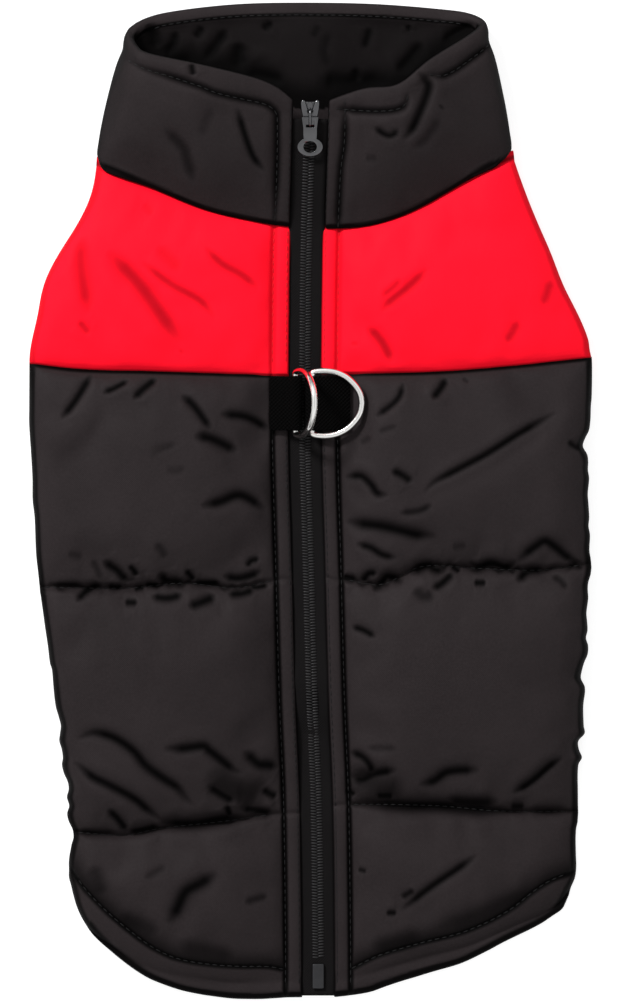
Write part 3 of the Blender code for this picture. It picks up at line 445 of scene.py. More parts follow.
BODY_CREASES = {  # each as its width, its depth and the points of its path
    "left": [
        (1.6, 1.3, (-100, 58), (-107, 46), (-114, 37)), (1.4, 1.0, (-83, 55), (-90, 51), (-95, 49)),
        (1.6, 1.5, (-70, 56), (-76, 51), (-81, 46)), (1.8, 1.5, (-59, 48), (-53, 43), (-45, 32)),
        (2.5, 1.6, (-53, 29), (-45, 28), (-33, 22)), (2.1, 1.5, (-41, 39), (-29, 38), (-18, 32)),
        (2.3, 1.7, (-50, -3), (-41, -1), (-33, 2), (-27, 0), (-20, -5)),
        (1.6, 0.4, (-74, 22), (-66, 24), (-61, 26)), (1.6, 0.3, (-66, 14), (-61, 13), (-57, 15)),
        (1.4, 0.8, (-118, -39), (-112, -39), (-105, -39)),
        (1.8, 1.1, (-107, -47), (-104, -43), (-100, -40), (-95, -39)),
        (1.6, 1.0, (-93, -39), (-90, -40), (-86, -40)),
        (2.1, 1.7, (-95, -28), (-89, -32), (-86, -35), (-83, -38)),
        (1.6, 1.2, (-83, -30), (-81, -32), (-79, -35)), (1.4, 1.0, (-81, -41), (-76, -40)),
        (1.4, 1.0, (-76, -39), (-72, -39), (-69, -39)),
        (2.3, 1.5, (-69, -33), (-66, -37), (-61, -38), (-57, -39)), (1.6, 1.0, (-57, -32), (-53, -37)),
        (1.4, 1.0, (-54, -38), (-48, -38), (-41, -38)), (2.1, 0.9, (-73, -44), (-65, -45), (-58, -43)),
        (2.1, 0.9, (-85, -47), (-79, -47)), (2.5, 1.2, (-56, -49), (-50, -47), (-43, -44)),
        (2.1, 1.3, (-40, -35), (-32, -36), (-22, -33)), (1.6, 0.9, (-29, -31), (-27, -28), (-23, -27)),
        (2.1, 1.0, (-38, -43), (-32, -43), (-25, -41)), (1.4, 0.9, (-28, -40), (-24, -40), (-19, -39)),
        (2.1, 0.5, (-71, -20), (-68, -23), (-66, -27)), (2.3, 0.4, (-111, -25), (-104, -26)),
        (1.6, 0.5, (-100, -27), (-97, -33), (-96, -37)),
        (2.3, 1.7, (-107, -110), (-99, -107), (-90, -109), (-81, -115), (-75, -122), (-67, -128),
         (-61, -132), (-57, -137), (-53, -141)),
        (2.1, 1.7, (-108, -120), (-100, -127), (-92, -131), (-81, -137), (-75, -142), (-68, -148)),
        (2.1, 1.3, (-93, -142), (-88, -147), (-84, -153)),
        (2.3, 1.7, (-67, -114), (-58, -114), (-49, -113), (-46, -115), (-41, -119), (-35, -124), (-30, -126)),
        (2.5, 1.7, (-47, -131), (-41, -135), (-34, -139)), (2.1, 1.2, (-38, -140), (-37, -146)),
        (2.8, 1.4, (-30, -115), (-24, -121), (-19, -122), (-14, -123)),
        (2.1, 1.3, (-22, -133), (-19, -135), (-15, -137)), (2.5, 1.4, (-32, -142), (-24, -143), (-17, -145)),
        (1.4, 0.6, (-107, -153), (-98, -153), (-89, -153)), (1.8, 1.1, (-84, -153), (-78, -152), (-69, -150)),
        (2.8, 1.6, (-70, -148), (-61, -149), (-51, -149), (-42, -147), (-30, -146)),
        (8, 0.6, (-47, -124), (-34, -133), (-20, -139)),
        (3.2, 0.9, (-42, -171), (-50, -176), (-57, -180), (-61, -188), (-65, -195)),
        (1.8, 0.4, (-66, -168), (-76, -174)), (1.8, 0.6, (-30, -185), (-19, -182)),
        (3.7, 0.5, (-100, -168), (-97, -175), (-95, -182)), (4.1, 0.5, (-88, -191), (-78, -195), (-69, -199)),
        (4.1, 0.5, (-61, -204), (-48, -207), (-34, -210)),
    ],
    "right": [
        (1.4, 1.0, (43, 54), (40, 46), (30, 38)), (1.8, 1.4, (63, 56), (60, 51), (56, 46)),
        (1.4, 0.4, (70, 56), (73, 54)), (1.6, 1.4, (113, 40), (97, 31), (81, 21), (66, 13), (57, 8), (52, 3)),
        (1.8, 1.5, (37, 13), (41, 12), (47, 8)), (1.8, 1.5, (16, 10), (23, 11), (28, 7), (31, 3), (36, 2)),
        (1.6, 0.7, (41, -6), (50, -5), (56, -2)),
        (2.8, 1.8, (16, -10), (23, -11), (32, -12), (41, -14), (49, -16), (58, -17)),
        (1.6, 0.8, (118, 27), (124, 23)), (1.4, 0.4, (23, 26), (28, 29)), (1.4, 0.4, (31, 31), (40, 34)),
        (1.8, 1.2, (21, -20), (28, -22), (33, -25), (40, -27)), (2.1, 1.0, (15, -35), (21, -37)),
        (1.8, 1.5, (24, -38), (27, -34), (31, -34)), (2.1, 1.6, (29, -42), (33, -38), (36, -35), (43, -38)),
        (2.3, 1.5, (46, -34), (54, -30), (58, -32), (63, -32)), (1.6, 1.3, (65, -30), (69, -33)),
        (1.8, 1.4, (66, -33), (61, -38), (56, -41)), (2.8, 0.6, (48, -40), (52, -44), (57, -43)),
        (2.3, 1.7, (73, -28), (77, -31), (83, -29), (90, -31), (95, -28)),
        (2.3, 1.2, (95, -29), (99, -25), (104, -21), (108, -19), (113, -22), (118, -26), (125, -30)),
        (2.1, 1.0, (75, -38), (81, -38)), (2.1, 1.2, (95, -38), (100, -33), (108, -32)),
        (1.6, 0.6, (111, -35), (115, -37), (118, -41)), (4.1, 0.4, (65, -22), (72, -21)),
        (1.4, 0.6, (118, -30), (125, -31)), (1.6, 0.9, (19, -58), (25, -60), (30, -63)),
        (2.5, 1.8, (18, -127), (24, -129), (30, -126), (40, -124)),
        (2.1, 1.2, (18, -116), (24, -118), (28, -123), (27, -127)), (1.6, 0.4, (26, -114), (40, -114)),
        (2.5, 1.1, (50, -131), (57, -129), (63, -125), (72, -124), (78, -124)),
        (2.1, 1.6, (93, -135), (102, -129), (110, -122), (116, -118)), (2.1, 1.3, (16, -133), (21, -136)),
        (3.2, 1.7, (21, -139), (34, -140), (46, -141), (60, -141), (72, -142), (88, -143), (93, -143)),
        (2.3, 0.8, (92, -141), (99, -141)), (2.3, 0.5, (101, -143), (118, -143)),
        (8, 0.6, (18, -122), (28, -131), (44, -134)), (3.2, 0.9, (30, -136), (39, -136)),
        (3.2, 0.8, (62, -138), (73, -139), (87, -139)),
        (1.8, 1.2, (42, -189), (49, -183), (54, -179), (61, -174), (67, -170), (77, -163)),
        (1.6, 0.8, (42, -183), (48, -179)), (2.1, 1.1, (35, -190), (40, -190)),
        (1.8, 0.8, (22, -170), (26, -171)), (4.1, 0.5, (59, -197), (73, -192), (87, -186), (102, -179)),
        (4.1, 0.5, (28, -206), (41, -203), (52, -200)),
    ],
}


def below(points, line):
    """How far each point lies below a line across the back; less than 0 above it."""
    x = points[:, 0]
    return (line(x) - points[:, 1]) / np.hypot(1, line(x + 0.5) - line(x - 0.5))


def near_lines(points, lines):
    """The distance from each point to the nearest of the lines across the back."""
    return np.min([np.abs(below(points, line)) for line in lines], axis=0)


def from_zip(points):
    """The distance from each point to the opening that shows the zip."""
    return np.abs(points[:, 0] - ZIP_MIDDLE(points[:, 1])) - ZIP_HALF_OPENING


def facing_up(normals):
    """1 on the upper side, 0 on the lower, smooth between."""
    return 1 - fade(normals[:, 2], -0.1, 0.4)


def edge_closing(normals):
    """How far a sewn edge reaches over its gap: least on the surface and most in the seam allowance."""
    return SEAM_CLOSING + (SEAM_LAP - SEAM_CLOSING) * fade(normals[:, 2], 0.2, 0.8)


def back_panel(name, hand, look, seams, hem, creases, pressure, slack, cap):
    """One padded panel of the back, blown up between its seams, creased and given its material."""
    piece = copy_of_node(name + "_cloth", name)

    def edges():
        """Points and normals, and their distances from sewn lines, hem, the hem's row, zip edge and side."""
        at, normals = read_points(piece.data), read_points(piece.data, "normal")
        turned = np.abs(below(at, hem)) if hem else np.full(len(at), FAR)
        hemmed = below(at, HEM_ROWS[hand]) if hem else np.full(len(at), -FAR)
        beside = np.abs(SIDES[hand](at[:, 1]) - at[:, 0])
        return at, normals, near_lines(at, seams), turned, hemmed, from_zip(at), beside

    # Blown up, and given a finer mesh where it is stitched or creased.
    apply_subdivision(piece)
    points, normals, sewn, turned, hemmed, zipped, beside = edges()
    held = np.maximum.reduce([
        fade(normals[:, 2], -0.3, 0.2), fade(sewn, 0.6, 3.0), fade(-hemmed, 0.5, 3.5),
        fade(zipped, 8.0, 11.0), fade(beside, 1.0, 8.0),
    ])
    blow_up(piece, held, pressure, slack, cap)
    apply_subdivision(piece)
    points, normals, sewn, turned, hemmed, zipped, beside = edges()
    lines = np.minimum.reduce([sewn, np.abs(hemmed), np.abs(zipped - PLACKET_WIDTH), turned, beside])
    creased = crease_fields(points, creases)[2] < CREASE_REACH
    split_faces(piece, (creased | (lines < 2.5)) & (normals[:, 2] > 0.1))
    points, normals, sewn, turned, hemmed, zipped, beside = edges()
    upward = facing_up(normals)
    margin = np.minimum.reduce([sewn, turned, zipped, beside])
    even_out(piece, upward * (1 - fade(margin, 0.3, 1.5)), 4)
    even_out(piece, upward * (1 - fade(hemmed, 0, 1.5)) * (1 - fade(turned, 0.5, 2)), 24)

    # Creases between the edges, then the grooves of the stitching; the quilting's upper line wanders.
    points = read_points(piece.data)
    push, dark, _ = crease_fields(points, creases)
    free = upward * (1 - fade(np.minimum(sewn, turned), 0.3, 1.6))
    free *= (1 - fade(zipped, PLACKET_WIDTH, PLACKET_WIDTH + 2)) * (1 - fade(beside, 0.5, 4))
    points[:, 2] += push * free
    placket, hem_row = np.abs(zipped - PLACKET_WIDTH), np.where(zipped < PLACKET_WIDTH, FAR, np.abs(hemmed))
    quilted = np.full(len(points), FAR)
    if hem:
        wandering = 0.9 * np.sin(0.8 * points[:, 0] + 2 * np.sin(0.2 * points[:, 0]))
        quilted = np.minimum(np.abs(below(points, seams[1]) + wandering), near_lines(points, seams[2:]))
    dip = np.maximum(groove(np.minimum(placket, hem_row), 1.1), 0.7 * groove(quilted, 1.5))
    points[:, 2] -= GROOVE_DEPTH * dip * upward * (1 - fade(beside, 0.5, 3))

    # The outline: side and hem as they wave in the photo, and the sewn edges closed over their gaps.
    def at_seam(line, reach=2):
        """1 on a sewn edge, 0 further than reach from it."""
        return fade(np.abs(below(points, line)), 0.5, reach)

    points[:, 0] += OUTWARD[hand] * SIDE_WAVES[hand](points[:, 1]) * fade(beside, 1, 10)
    points[:, 1] -= HEM_WAVES[hand] * fade(turned, 1, 8) * (1 - fade(zipped, 8, 20))
    closing = edge_closing(normals)
    if hem is None:
        corner = fade(beside, 10, 34)
        points[:, 1] += (closing + CORNER_CLOSING * corner) * at_seam(seams[0])
        points[:, 1] -= closing * at_seam(seams[-1])
        points[:, 2] -= corner * at_seam(seams[0], 3) * upward
    else:
        points[:, 1] += closing * at_seam(seams[0])
    write_points(piece.data, points)

    # Painted shade of stitching and edges: in the gathers at the quilting, seams, placket and hem row, a
    # painted shadow above the hem row, and where the side, hem and zip edge roll away from the light.
    border = near_lines(points, (seams[0], seams[-1]) if hem is None else seams[:1])
    gather_shade = 0.42 + 0.3 * np.sin(0.31 * points[:, 0] + 2.3 * np.sin(0.11 * points[:, 0]))
    beyond_placket = zipped > PLACKET_WIDTH
    placket_dark, placket_line, side_dark = (1.0, 1.5, 0.95) if hem else (0.3, 1.8, 0.5)
    seam = np.maximum.reduce([
        gather_shade * groove(quilted, 1.1) * beyond_placket,
        groove(border, 1.2, 4),
        placket_dark * groove(placket, placket_line, 4),
        groove(hem_row, 1.7, 4),
        0.8 * groove(hemmed, 6.5) * (hemmed < 0.2) * beyond_placket,
        side_dark * fade(beside, 2.2, 4.2),
        0.97 * fade(turned, 2.4, 4.4),
        0.9 * fade(zipped, 0.3, 1.3),
    ])
    # Both values stored here are painted shade, for the grooves, edges and creases.
    store_shades(piece, seam * (1 - fade(normals[:, 2], -0.6, -0.2)), dark * upward)
    finish_piece(piece, look, name)
    return piece


body_pieces = {}
for hand in ("left", "right"):
    body_pieces[hand] = back_panel(
        "body_" + hand, hand, black_nylon,
        seams=(YOKE_SEAMS[hand], UPPER_QUILTING[hand], LOWER_QUILTING[hand]), hem=HEMS[hand],
        creases=BODY_CREASES[hand], pressure=0.6, slack=0.03, cap=4.0)


# The yoke over the shoulders: two red panels of the same nylon and wadding, sewn to the collar above and to
# the body below. They are less full, with long soft creases that run in from the slanted edges.
YOKE_CREASES = {
    "left": [
        (3.2, 0.7, (-104, 121), (-105, 113), (-104, 101), (-101, 86)),
        (3.5, 1.2, (-93, 114), (-84, 105), (-76, 96), (-66, 82), (-59, 72)),
        (1.8, 0.8, (-77, 109), (-64, 99), (-50, 91), (-43, 83)), (2.8, 0.5, (-70, 116), (-59, 105)),
        (1.8, 0.8, (-48, 116), (-40, 108), (-31, 103), (-23, 97)), (1.8, 0.7, (-106, 82), (-101, 76)),
        (1.8, 0.3, (-76, 136), (-72, 131)), (1.6, 0.4, (-60, 69), (-58, 67)),
    ],
    "right": [
        (2.1, 0.8, (54, 106), (46, 98), (37, 91), (33, 86)), (1.6, 0.6, (42, 101), (38, 97), (33, 93)),
        (2.1, 1.0, (26, 79), (30, 76), (34, 71), (38, 63)), (1.6, 0.4, (19, 72), (22, 71)),
        (2.3, 0.6, (111, 101), (109, 94), (107, 89)), (2.1, 0.6, (96, 82), (93, 76), (90, 72)),
    ],
}
yoke_pieces = {}
for hand in ("left", "right"):
    yoke_pieces[hand] = back_panel(
        "yoke_" + hand, hand, red_nylon, seams=(COLLAR_SEAMS[hand], YOKE_SEAMS[hand]), hem=None,
        creases=YOKE_CREASES[hand], pressure=0.4, slack=0.02, cap=3.0)


# The stand collar: one padded black band from zip edge to zip edge, its rim folded in and stitched all round.
# It stands open, so the inside of its chest side shows, in soft diagonal creases and in painted shade.
NEAR_RIM = smooth_line((-82.2, 215.4), (-79, 207.6), (-72.4, 203.6), (-48, 198.4), (-20, 191.2), (-7, 182.4),
                       (7.6, 182.4), (25, 188.2), (39.8, 189.6), (54, 201), (72.6, 213), (78.8, 219.6))
FAR_RIM = smooth_line(
    (-82.2, 215.4), (-76, 222), (-62, 225.8), (-33, 229), (-2, 229.6), (30, 229), (60, 226.6), (73.4, 224.4),
    (78.8, 219.6))
RIM_FOLD = 6.2  # how deep the rim is folded in
COLLAR_ENDS = (-98.3, 93.4)  # where the collar's seam meets the sides
COLLAR_END_CLOSING = 1.5  # how much further it reaches over its seam there
COLLAR_BASE_Y = 175  # what lies below this is its lower edge
CHEST_SEAM_Y = 168  # where its chest side is sewn on, out of sight
RIM_ROWS = {
    "left": [
        (-86, 203), (-80, 199), (-74, 196), (-64, 193), (-55, 190), (-49, 188), (-43, 185.5), (-32, 183),
        (-23, 181.2), (-18.4, 179.6), (-15.6, 176.8), (-14.9, 172.6), (-15.2, 150), (-16.6, 118),
    ],
    "right": [(11.8, 178.6), (20, 177.8), (31.4, 177.2), (39.6, 178), (43.6, 180.5), (44.6, 186)],
    "right_side": [(54, 194), (60, 193.3), (66, 196), (73, 201.2), (79, 206), (84, 211)],
    "right_placket": [(16, 182), (16, 172), (15.6, 162), (14.2, 152), (13.4, 138), (12.6, 118)],
}
COLLAR_CREASES = [(2.0, 1.3, *row) for row in RIM_ROWS.values()] + [
    (2.1, 1.7, (49, 195), (53, 191), (54, 187), (50, 176), (46, 168), (42, 164)),
    (1.6, 0.9, (29, 170), (36, 166), (41, 169)), (2.3, 0.4, (60, 175), (53, 165), (47, 160)),
    (2.8, 0.6, (-67, 170), (-58, 161), (-56, 155), (-53, 145)),
    (1.8, 1.0, (-33, 179), (-31, 171), (-26, 157), (-20, 150)),
    (2.8, 0.3, (-44, 179), (-48, 171), (-49, 165)), (1.6, 1.0, (-54, 199), (-53, 193)),
    (1.8, 0.6, (59, 180), (61, 178)), (1.8, 0.4, (25, 156), (31, 156)),
]
MOUTH_CREASES = [
    (4.1, 1.5, (-75, 219), (-72, 214), (-71, 208)), (2.1, 1.3, (-61, 216), (-63, 210), (-66, 205)),
    (1.8, 1.1, (-49, 218), (-53, 213)), (2.3, 1.6, (-38, 217), (-43, 210), (-48, 203)),
    (1.8, 1.1, (-17, 220), (-22, 217)), (3.7, 1.6, (-32, 211), (-33, 204), (-32, 199)),
    (3.2, 1.2, (-29, 196), (-22, 195), (-12, 193)), (1.8, 0.9, (28, 218), (25, 208)),
    (2.1, 1.3, (45, 219), (46, 216)), (2.8, 1.6, (52, 211), (49, 207), (45, 202), (40, 197)),
    (2.3, 1.3, (61, 211), (69, 216), (76, 219)), (3.7, 1.3, (21, 199), (22, 193)),
    (4.6, 1.2, (2, 193), (14, 193), (37, 192)), (3.2, 1.0, (-67, 204), (-60, 202), (-54, 201)),
    (2.3, 0.5, (9, 216), (6, 207), (9, 199)), (1.8, 0.6, (4, 219), (1, 213)),
]


def collar_seam(points):
    """Where the seam below the collar runs at each point's x."""
    x = points[:, 0]
    return np.where(x < 0, COLLAR_SEAMS["left"](x), COLLAR_SEAMS["right"](x))


def collar_piece():
    """The collar: its back side lies over 7 mm up, short of the near rim, and its chest side shows beyond."""
    piece = copy_of_node("collar_cloth", "collar")
    apply_subdivision(piece)
    points, normals = read_points(piece.data), read_points(piece.data, "normal")
    on_floor = points[:, 2] < 0.6
    near = points[:, 1] < NEAR_RIM(points[:, 0]) + 1.0
    from_seam = points[:, 1] - np.where(points[:, 2] > 6.5, collar_seam(points), CHEST_SEAM_Y)
    rim = np.where(near & (points[:, 2] > 8), NEAR_RIM(points[:, 0]), FAR_RIM(points[:, 0]))
    held = np.maximum.reduce([
        on_floor * 1.0, fade(from_seam, 1.5, 5), fade(rim - points[:, 1], RIM_FOLD, RIM_FOLD + 3),
        fade(np.where(points[:, 2] > 7, from_zip(points), FAR), 8, 11),
        fade(np.abs(normals[:, 2]), 0.15, 0.5),
    ])
    blow_up(piece, held, pressure=0.4, slack=0.018, cap=2.2)
    apply_subdivision(piece)
    points = read_points(piece.data)
    close = np.minimum(crease_fields(points, COLLAR_CREASES)[2], crease_fields(points, MOUTH_CREASES)[2])
    split_faces(piece, (close < CREASE_REACH) & (read_points(piece.data, "normal")[:, 2] > 0.1))
    points, normals = read_points(piece.data), read_points(piece.data, "normal")
    upward = facing_up(normals)
    seam_line = collar_seam(points)
    margin = np.minimum.reduce([
        np.abs(points[:, 1] - seam_line), from_zip(points),
        np.abs(points[:, 1] - NEAR_RIM(points[:, 0])), np.abs(points[:, 1] - FAR_RIM(points[:, 0])),
    ])
    even_out(piece, upward * (1 - fade(margin, 0.3, 1.5)), 3)

    # Creases on the back side and inside the mouth, then the lower edge closed over its gap.
    points = read_points(piece.data)
    above_rim = points[:, 1] - NEAR_RIM(points[:, 0])
    near_side = upward * (points[:, 2] > 7) * (above_rim < 0)
    far_side = upward * (points[:, 2] < 16) * (above_rim > -2)
    push, dark, _ = crease_fields(points, COLLAR_CREASES)
    mouth_push, mouth_dark, _ = crease_fields(points, MOUTH_CREASES)
    points[:, 2] += (push * near_side + mouth_push * far_side) * (1 - fade(margin, 0.3, 1.6))
    points[:, 2] = np.maximum(points[:, 2], 0.0)
    from_end = np.min([np.abs(points[:, 0] - end) for end in COLLAR_ENDS], axis=0)
    closing = edge_closing(normals) + COLLAR_END_CLOSING * fade(from_end, 6, 28)
    points[:, 1] -= closing * fade(np.abs(points[:, 1] - seam_line), 0.5, 3) * (points[:, 1] < COLLAR_BASE_Y)
    write_points(piece.data, points)

    # The painted shade: dark in the seams, the rim's fold and the zip edge, deep in the mouth, a little over
    # all of the back side, and where the sides roll away from the light.
    from_far_rim = FAR_RIM(points[:, 0]) - points[:, 1]
    seam = np.maximum.reduce([
        groove(from_far_rim - RIM_FOLD, 1.0, 4) * far_side,
        groove(points[:, 1] - seam_line, 1.3, 4) * near_side,
        0.9 * fade(from_zip(points), 0.3, 1.3) * near_side,
    ])
    rolled_away_shade = 0.92 * fade(normals[:, 2], 0.35, 0.85) * (normals[:, 2] > -0.4)
    mouth_shadow = (0.74 + 0.24 * fade(above_rim, 3, 15)) * (1 - fade(from_far_rim, RIM_FOLD - 1, RIM_FOLD + 2))
    mouth = far_side * (1 - (1 - mouth_shadow) * (1 - mouth_dark))
    store_shades(piece, np.maximum(seam, rolled_away_shade), np.maximum(np.maximum(dark, 0.08) * near_side, mouth))
    finish_piece(piece, black_nylon, "collar")
    return piece


collar = collar_piece()


# The belly panel: black nylon like the back, without quilting, which the jacket lies on. It is flat below,
# and drawn in at the two leg openings.
belly = copy_of_node("belly_panel_cloth", "belly_panel")
apply_subdivision(belly, 2)
store_shades(belly)
finish_piece(belly, black_nylon, "belly_panel")


# The stitching: lockstitch in bonded thread along the quilting lines, the hem, the rim and beside the zip.
# One stitch is modelled, and each row is a joined mesh of its copies, laid on the cloth below.
def thread_material(name, colour):
    """A twisted thread, with painted shade between its plies."""
    made, tree, shader = new_material(name)
    ply = add_node(tree, "TexWave", {"wave_type": "BANDS", "bands_direction": "DIAGONAL"},
                   Vector=add_node(tree, "TexCoord").outputs["Object"], Scale=900.0, Distortion=0.4)
    tint = add_node(tree, "Mix", {"data_type": "RGBA"}, Factor=ply.outputs["Fac"])
    tint.inputs[6].default_value = (*(0.55 * c for c in colour), 1.0)
    tint.inputs[7].default_value = (*colour, 1.0)
    bump = add_node(tree, "Bump", Height=ply.outputs["Fac"], Strength=0.6, Distance=0.0001)
    tree.links.new(tint.outputs[2], shader["Base Color"])
    tree.links.new(bump.outputs[0], shader["Normal"])
    shader["Roughness"].default_value = 0.6
    shader["Specular IOR Level"].default_value = 0.15
    return made


black_thread = thread_material("black_thread", (0.009, 0.0085, 0.009))
red_thread = thread_material("red_thread", (0.72, 0.006, 0.016))
STITCH_LENGTH = 2.7
STITCH_PITCH = 3.4
STITCH_THICK = 0.55
STITCH_LIFT = 0.12  # of a stitch's middle over the cloth
PLACKET_STITCH = ZIP_HALF_OPENING + PLACKET_WIDTH
EDGE_STITCH = ZIP_HALF_OPENING + 1.6


def surface_of(pieces):
    """A tree for finding the top surface of several pieces."""
    points, faces = [], []
    for piece in pieces:
        start = len(points)
        points += [v.co.copy() for v in piece.data.vertices]
        faces += [tuple(start + v for v in face.vertices) for face in piece.data.polygons]
    return BVHTree.FromPolygons(points, faces)


DROP_HEIGHT = 0.2  # in metres


def drop(surface, x, y):
    """The point on a surface straight below (x, y), in millimetres, or None."""
    hit = surface.ray_cast(Vector((x * MM, y * MM, DROP_HEIGHT)), Vector((0, 0, -1)))
    return hit[0] / MM if hit[0] else None


def run_of(path):
    """How far along a path each of its points lies."""
    return np.concatenate([[0], np.cumsum(np.linalg.norm(np.diff(path, axis=0), axis=1))])


def even_steps(path, pitch):
    """Points at even steps along a path of (x, y) points."""
    run = run_of(path)
    at = np.arange(0, run[-1], pitch)
    return np.stack([np.interp(at, run, path[:, k]) for k in range(2)], axis=1)


def path_ahead(path, x, y):
    """The point one stitch further along a path, or None past its end."""
    run = run_of(path)
    nearest = int(np.argmin(np.hypot(path[:, 0] - x, path[:, 1] - y)))
    back = math.hypot(path[nearest, 0] - x, path[nearest, 1] - y)
    following = path[min(nearest + 1, len(path) - 1)] - path[nearest]
    forward = np.dot(following, (x - path[nearest, 0], y - path[nearest, 1])) > 0
    at = run[nearest] + (back if forward else -back) + STITCH_LENGTH
    return None if at > run[-1] else [float(np.interp(at, run, path[:, k])) for k in range(2)]


def bead(segments, rings):
    """The points and faces of a small ball of radius 1, for repeats."""
    deselect_all()
    bpy.ops.mesh.primitive_uv_sphere_add(segments=segments, ring_count=rings, radius=1.0)
    ball = bpy.context.object
    points = np.array([v.co[:] for v in ball.data.vertices])
    faces = [tuple(face.vertices) for face in ball.data.polygons]
    bpy.data.objects.remove(ball)
    return points, faces


def joined(name, unit, places):
    """One mesh of many copies of a unit; each place is a 4 x 4 matrix in millimetres."""
    points, faces = unit
    all_points, all_faces = [], []
    for number, matrix in enumerate(places):
        m = np.array(matrix)
        all_points.append(points @ m[:3, :3].T + m[:3, 3])
        all_faces += [tuple(v + number * len(points) for v in face) for face in faces]
    mesh = bpy.data.meshes.new(name)
    mesh.from_pydata((np.concatenate(all_points) * MM).tolist(), [], all_faces)
    piece = bpy.data.objects.new(name, mesh)
    scene.collection.objects.link(piece)
    return piece


stitch_unit = bead(7, 5)


def stitch_places(surface, path):
    """Where each stitch of a row lies: from one point of the path to the next, on the cloth."""
    places = []
    for x, y in even_steps(path, STITCH_PITCH):
        here = drop(surface, x, y)
        ahead = path_ahead(path, x, y)
        there = drop(surface, *ahead) if ahead else None
        if here is None or there is None or abs(here.z - there.z) > 3:
            continue
        way = (there - here).normalized()
        side = way.cross(Vector((0, 0, 1))).normalized()
        up = side.cross(way)
        middle = (here + there) / 2 + up * STITCH_LIFT
        frame_at = Matrix((way, side, up)).transposed().to_4x4()
        size = Matrix.Diagonal((STITCH_LENGTH / 2, STITCH_THICK / 2, STITCH_THICK / 2.6, 1))
        places.append(Matrix.Translation(middle) @ frame_at @ size)
    return places


def across_path(line, start, end, count=160):
    """A path along a line across the back, from start to end in x."""
    xs = np.linspace(start, end, count)
    return np.stack([xs, line(xs)], axis=1)


def beside_zip(hand, distance, top, bottom, count=260):
    """A path that keeps its distance from the middle of the zip."""
    ys = np.linspace(top, bottom, count)
    return np.stack([ZIP_MIDDLE(ys) + OUTWARD[hand] * distance, ys], axis=1)


def inside_path(line, start, end, inset, count=200):
    """A path inside a curved edge, at an even distance from it."""
    xs = np.linspace(start, end, count)
    edge = np.stack([xs, line(xs)], axis=1)
    way = np.gradient(edge, axis=0)
    way /= np.linalg.norm(way, axis=1)[:, None]
    normal = np.stack([-way[:, 1], way[:, 0]], axis=1)
    normal *= np.sign(normal[:, 1])[:, None]
    return edge + normal * inset


def sew(name, piece, paths, thread):
    """Rows of stitches along paths on a piece, as one mesh."""
    cloth = surface_of([piece])
    places = [place for path in paths for place in stitch_places(cloth, path)]
    finish_piece(joined(name, stitch_unit, places), thread)


QUILTING_ROWS = ((UPPER_QUILTING, 18, -38), (LOWER_QUILTING, 20, -148))  # line, start, and y at the side
QUILTING_INSET = 3  # from its end to the side
HEM_ROW_ENDS = {"left": (-12, -107), "right": (19, 117)}
BODY_ROWS, YOKE_ROWS, COLLAR_ROWS = (28, -226), (124, 61), (178, 130)  # y from and to, beside the zip
FAR_RIM_ROW = (-74, 72)
for hand, outward in OUTWARD.items():
    sew("stitching_body_" + hand, body_pieces[hand], [
        *(across_path(line[hand], outward * start, float(SIDES[hand](y)) - outward * QUILTING_INSET)
          for line, start, y in QUILTING_ROWS),
        *(beside_zip(hand, distance, *BODY_ROWS) for distance in (PLACKET_STITCH, EDGE_STITCH)),
        across_path(HEM_ROWS[hand], *HEM_ROW_ENDS[hand]),
    ], black_thread)
    sew("stitching_yoke_" + hand, yoke_pieces[hand], [
        beside_zip(hand, distance, *YOKE_ROWS) for distance in (PLACKET_STITCH, EDGE_STITCH)
    ], red_thread)
sew("stitching_collar", collar, [
    *(np.array(rounded_path(row, 6)) for row in RIM_ROWS.values()),
    *(beside_zip(hand, EDGE_STITCH, *COLLAR_ROWS) for hand in OUTWARD),
    inside_path(FAR_RIM, *FAR_RIM_ROW, -RIM_FOLD),
], black_thread)


# The zip's tapes: closely woven black polyester tape, each sewn under the edge of its placket. Both are one
# band here, which follows the height of the solids.
tape_cloth = cloth_material("zip_tape_weave", (0.0064, 0.0058, 0.0060), roughness=0.8, gloss=0.03, shade=0.4,
                            thread_width=0.0006, weave=0.5, crinkle=0.1, depth=0.0002)
tape_surface = surface_of([nodes["zip_tape_left"], nodes["zip_tape_right"]])
TAPE_HALF = 8.3
TAPE_THICK = 0.5
TAPE_TOP = 174.2
TAPE_END = -228.6
TAPE_PROBES = (-5.4, 5.4)  # beside the chain, where the solids' height is read
TAPE_ROWS, TAPE_COLUMNS = 270, 8
tape_ys = np.linspace(TAPE_TOP, TAPE_END, TAPE_ROWS)
deselect_all()
bpy.ops.mesh.primitive_grid_add(x_subdivisions=TAPE_COLUMNS, y_subdivisions=TAPE_ROWS - 1, size=2)
tape = bpy.context.object
tape.name = "zip_tapes_woven"
grid = np.array([v.co[:] for v in tape.data.vertices])
ys = np.interp(grid[:, 1], (-1, 1), (TAPE_END, TAPE_TOP))
heights = []
for y in tape_ys:
    found = [drop(tape_surface, float(ZIP_MIDDLE(y)) + x, y) for x in TAPE_PROBES]
    heights.append(np.mean([point.z for point in found if point is not None] or [np.nan]))
heights = np.array(heights)
known = ~np.isnan(heights)
tape_height = smooth_line(*zip(tape_ys[known][::4], heights[known][::4]))
grid = np.stack([ZIP_MIDDLE(ys) + grid[:, 0] * TAPE_HALF, ys, tape_height(ys) - TAPE_THICK], axis=1)
write_points(tape.data, grid)
make_active(tape)
woven_tape = tape.modifiers.new("Thickness", "SOLIDIFY")
woven_tape.thickness = TAPE_THICK * MM
woven_tape.offset = 1
bpy.ops.object.modifier_apply(modifier=woven_tape.name)
store_shades(tape)
finish_piece(tape, tape_cloth, "zip_tape_left")
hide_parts("zip_tape_right")


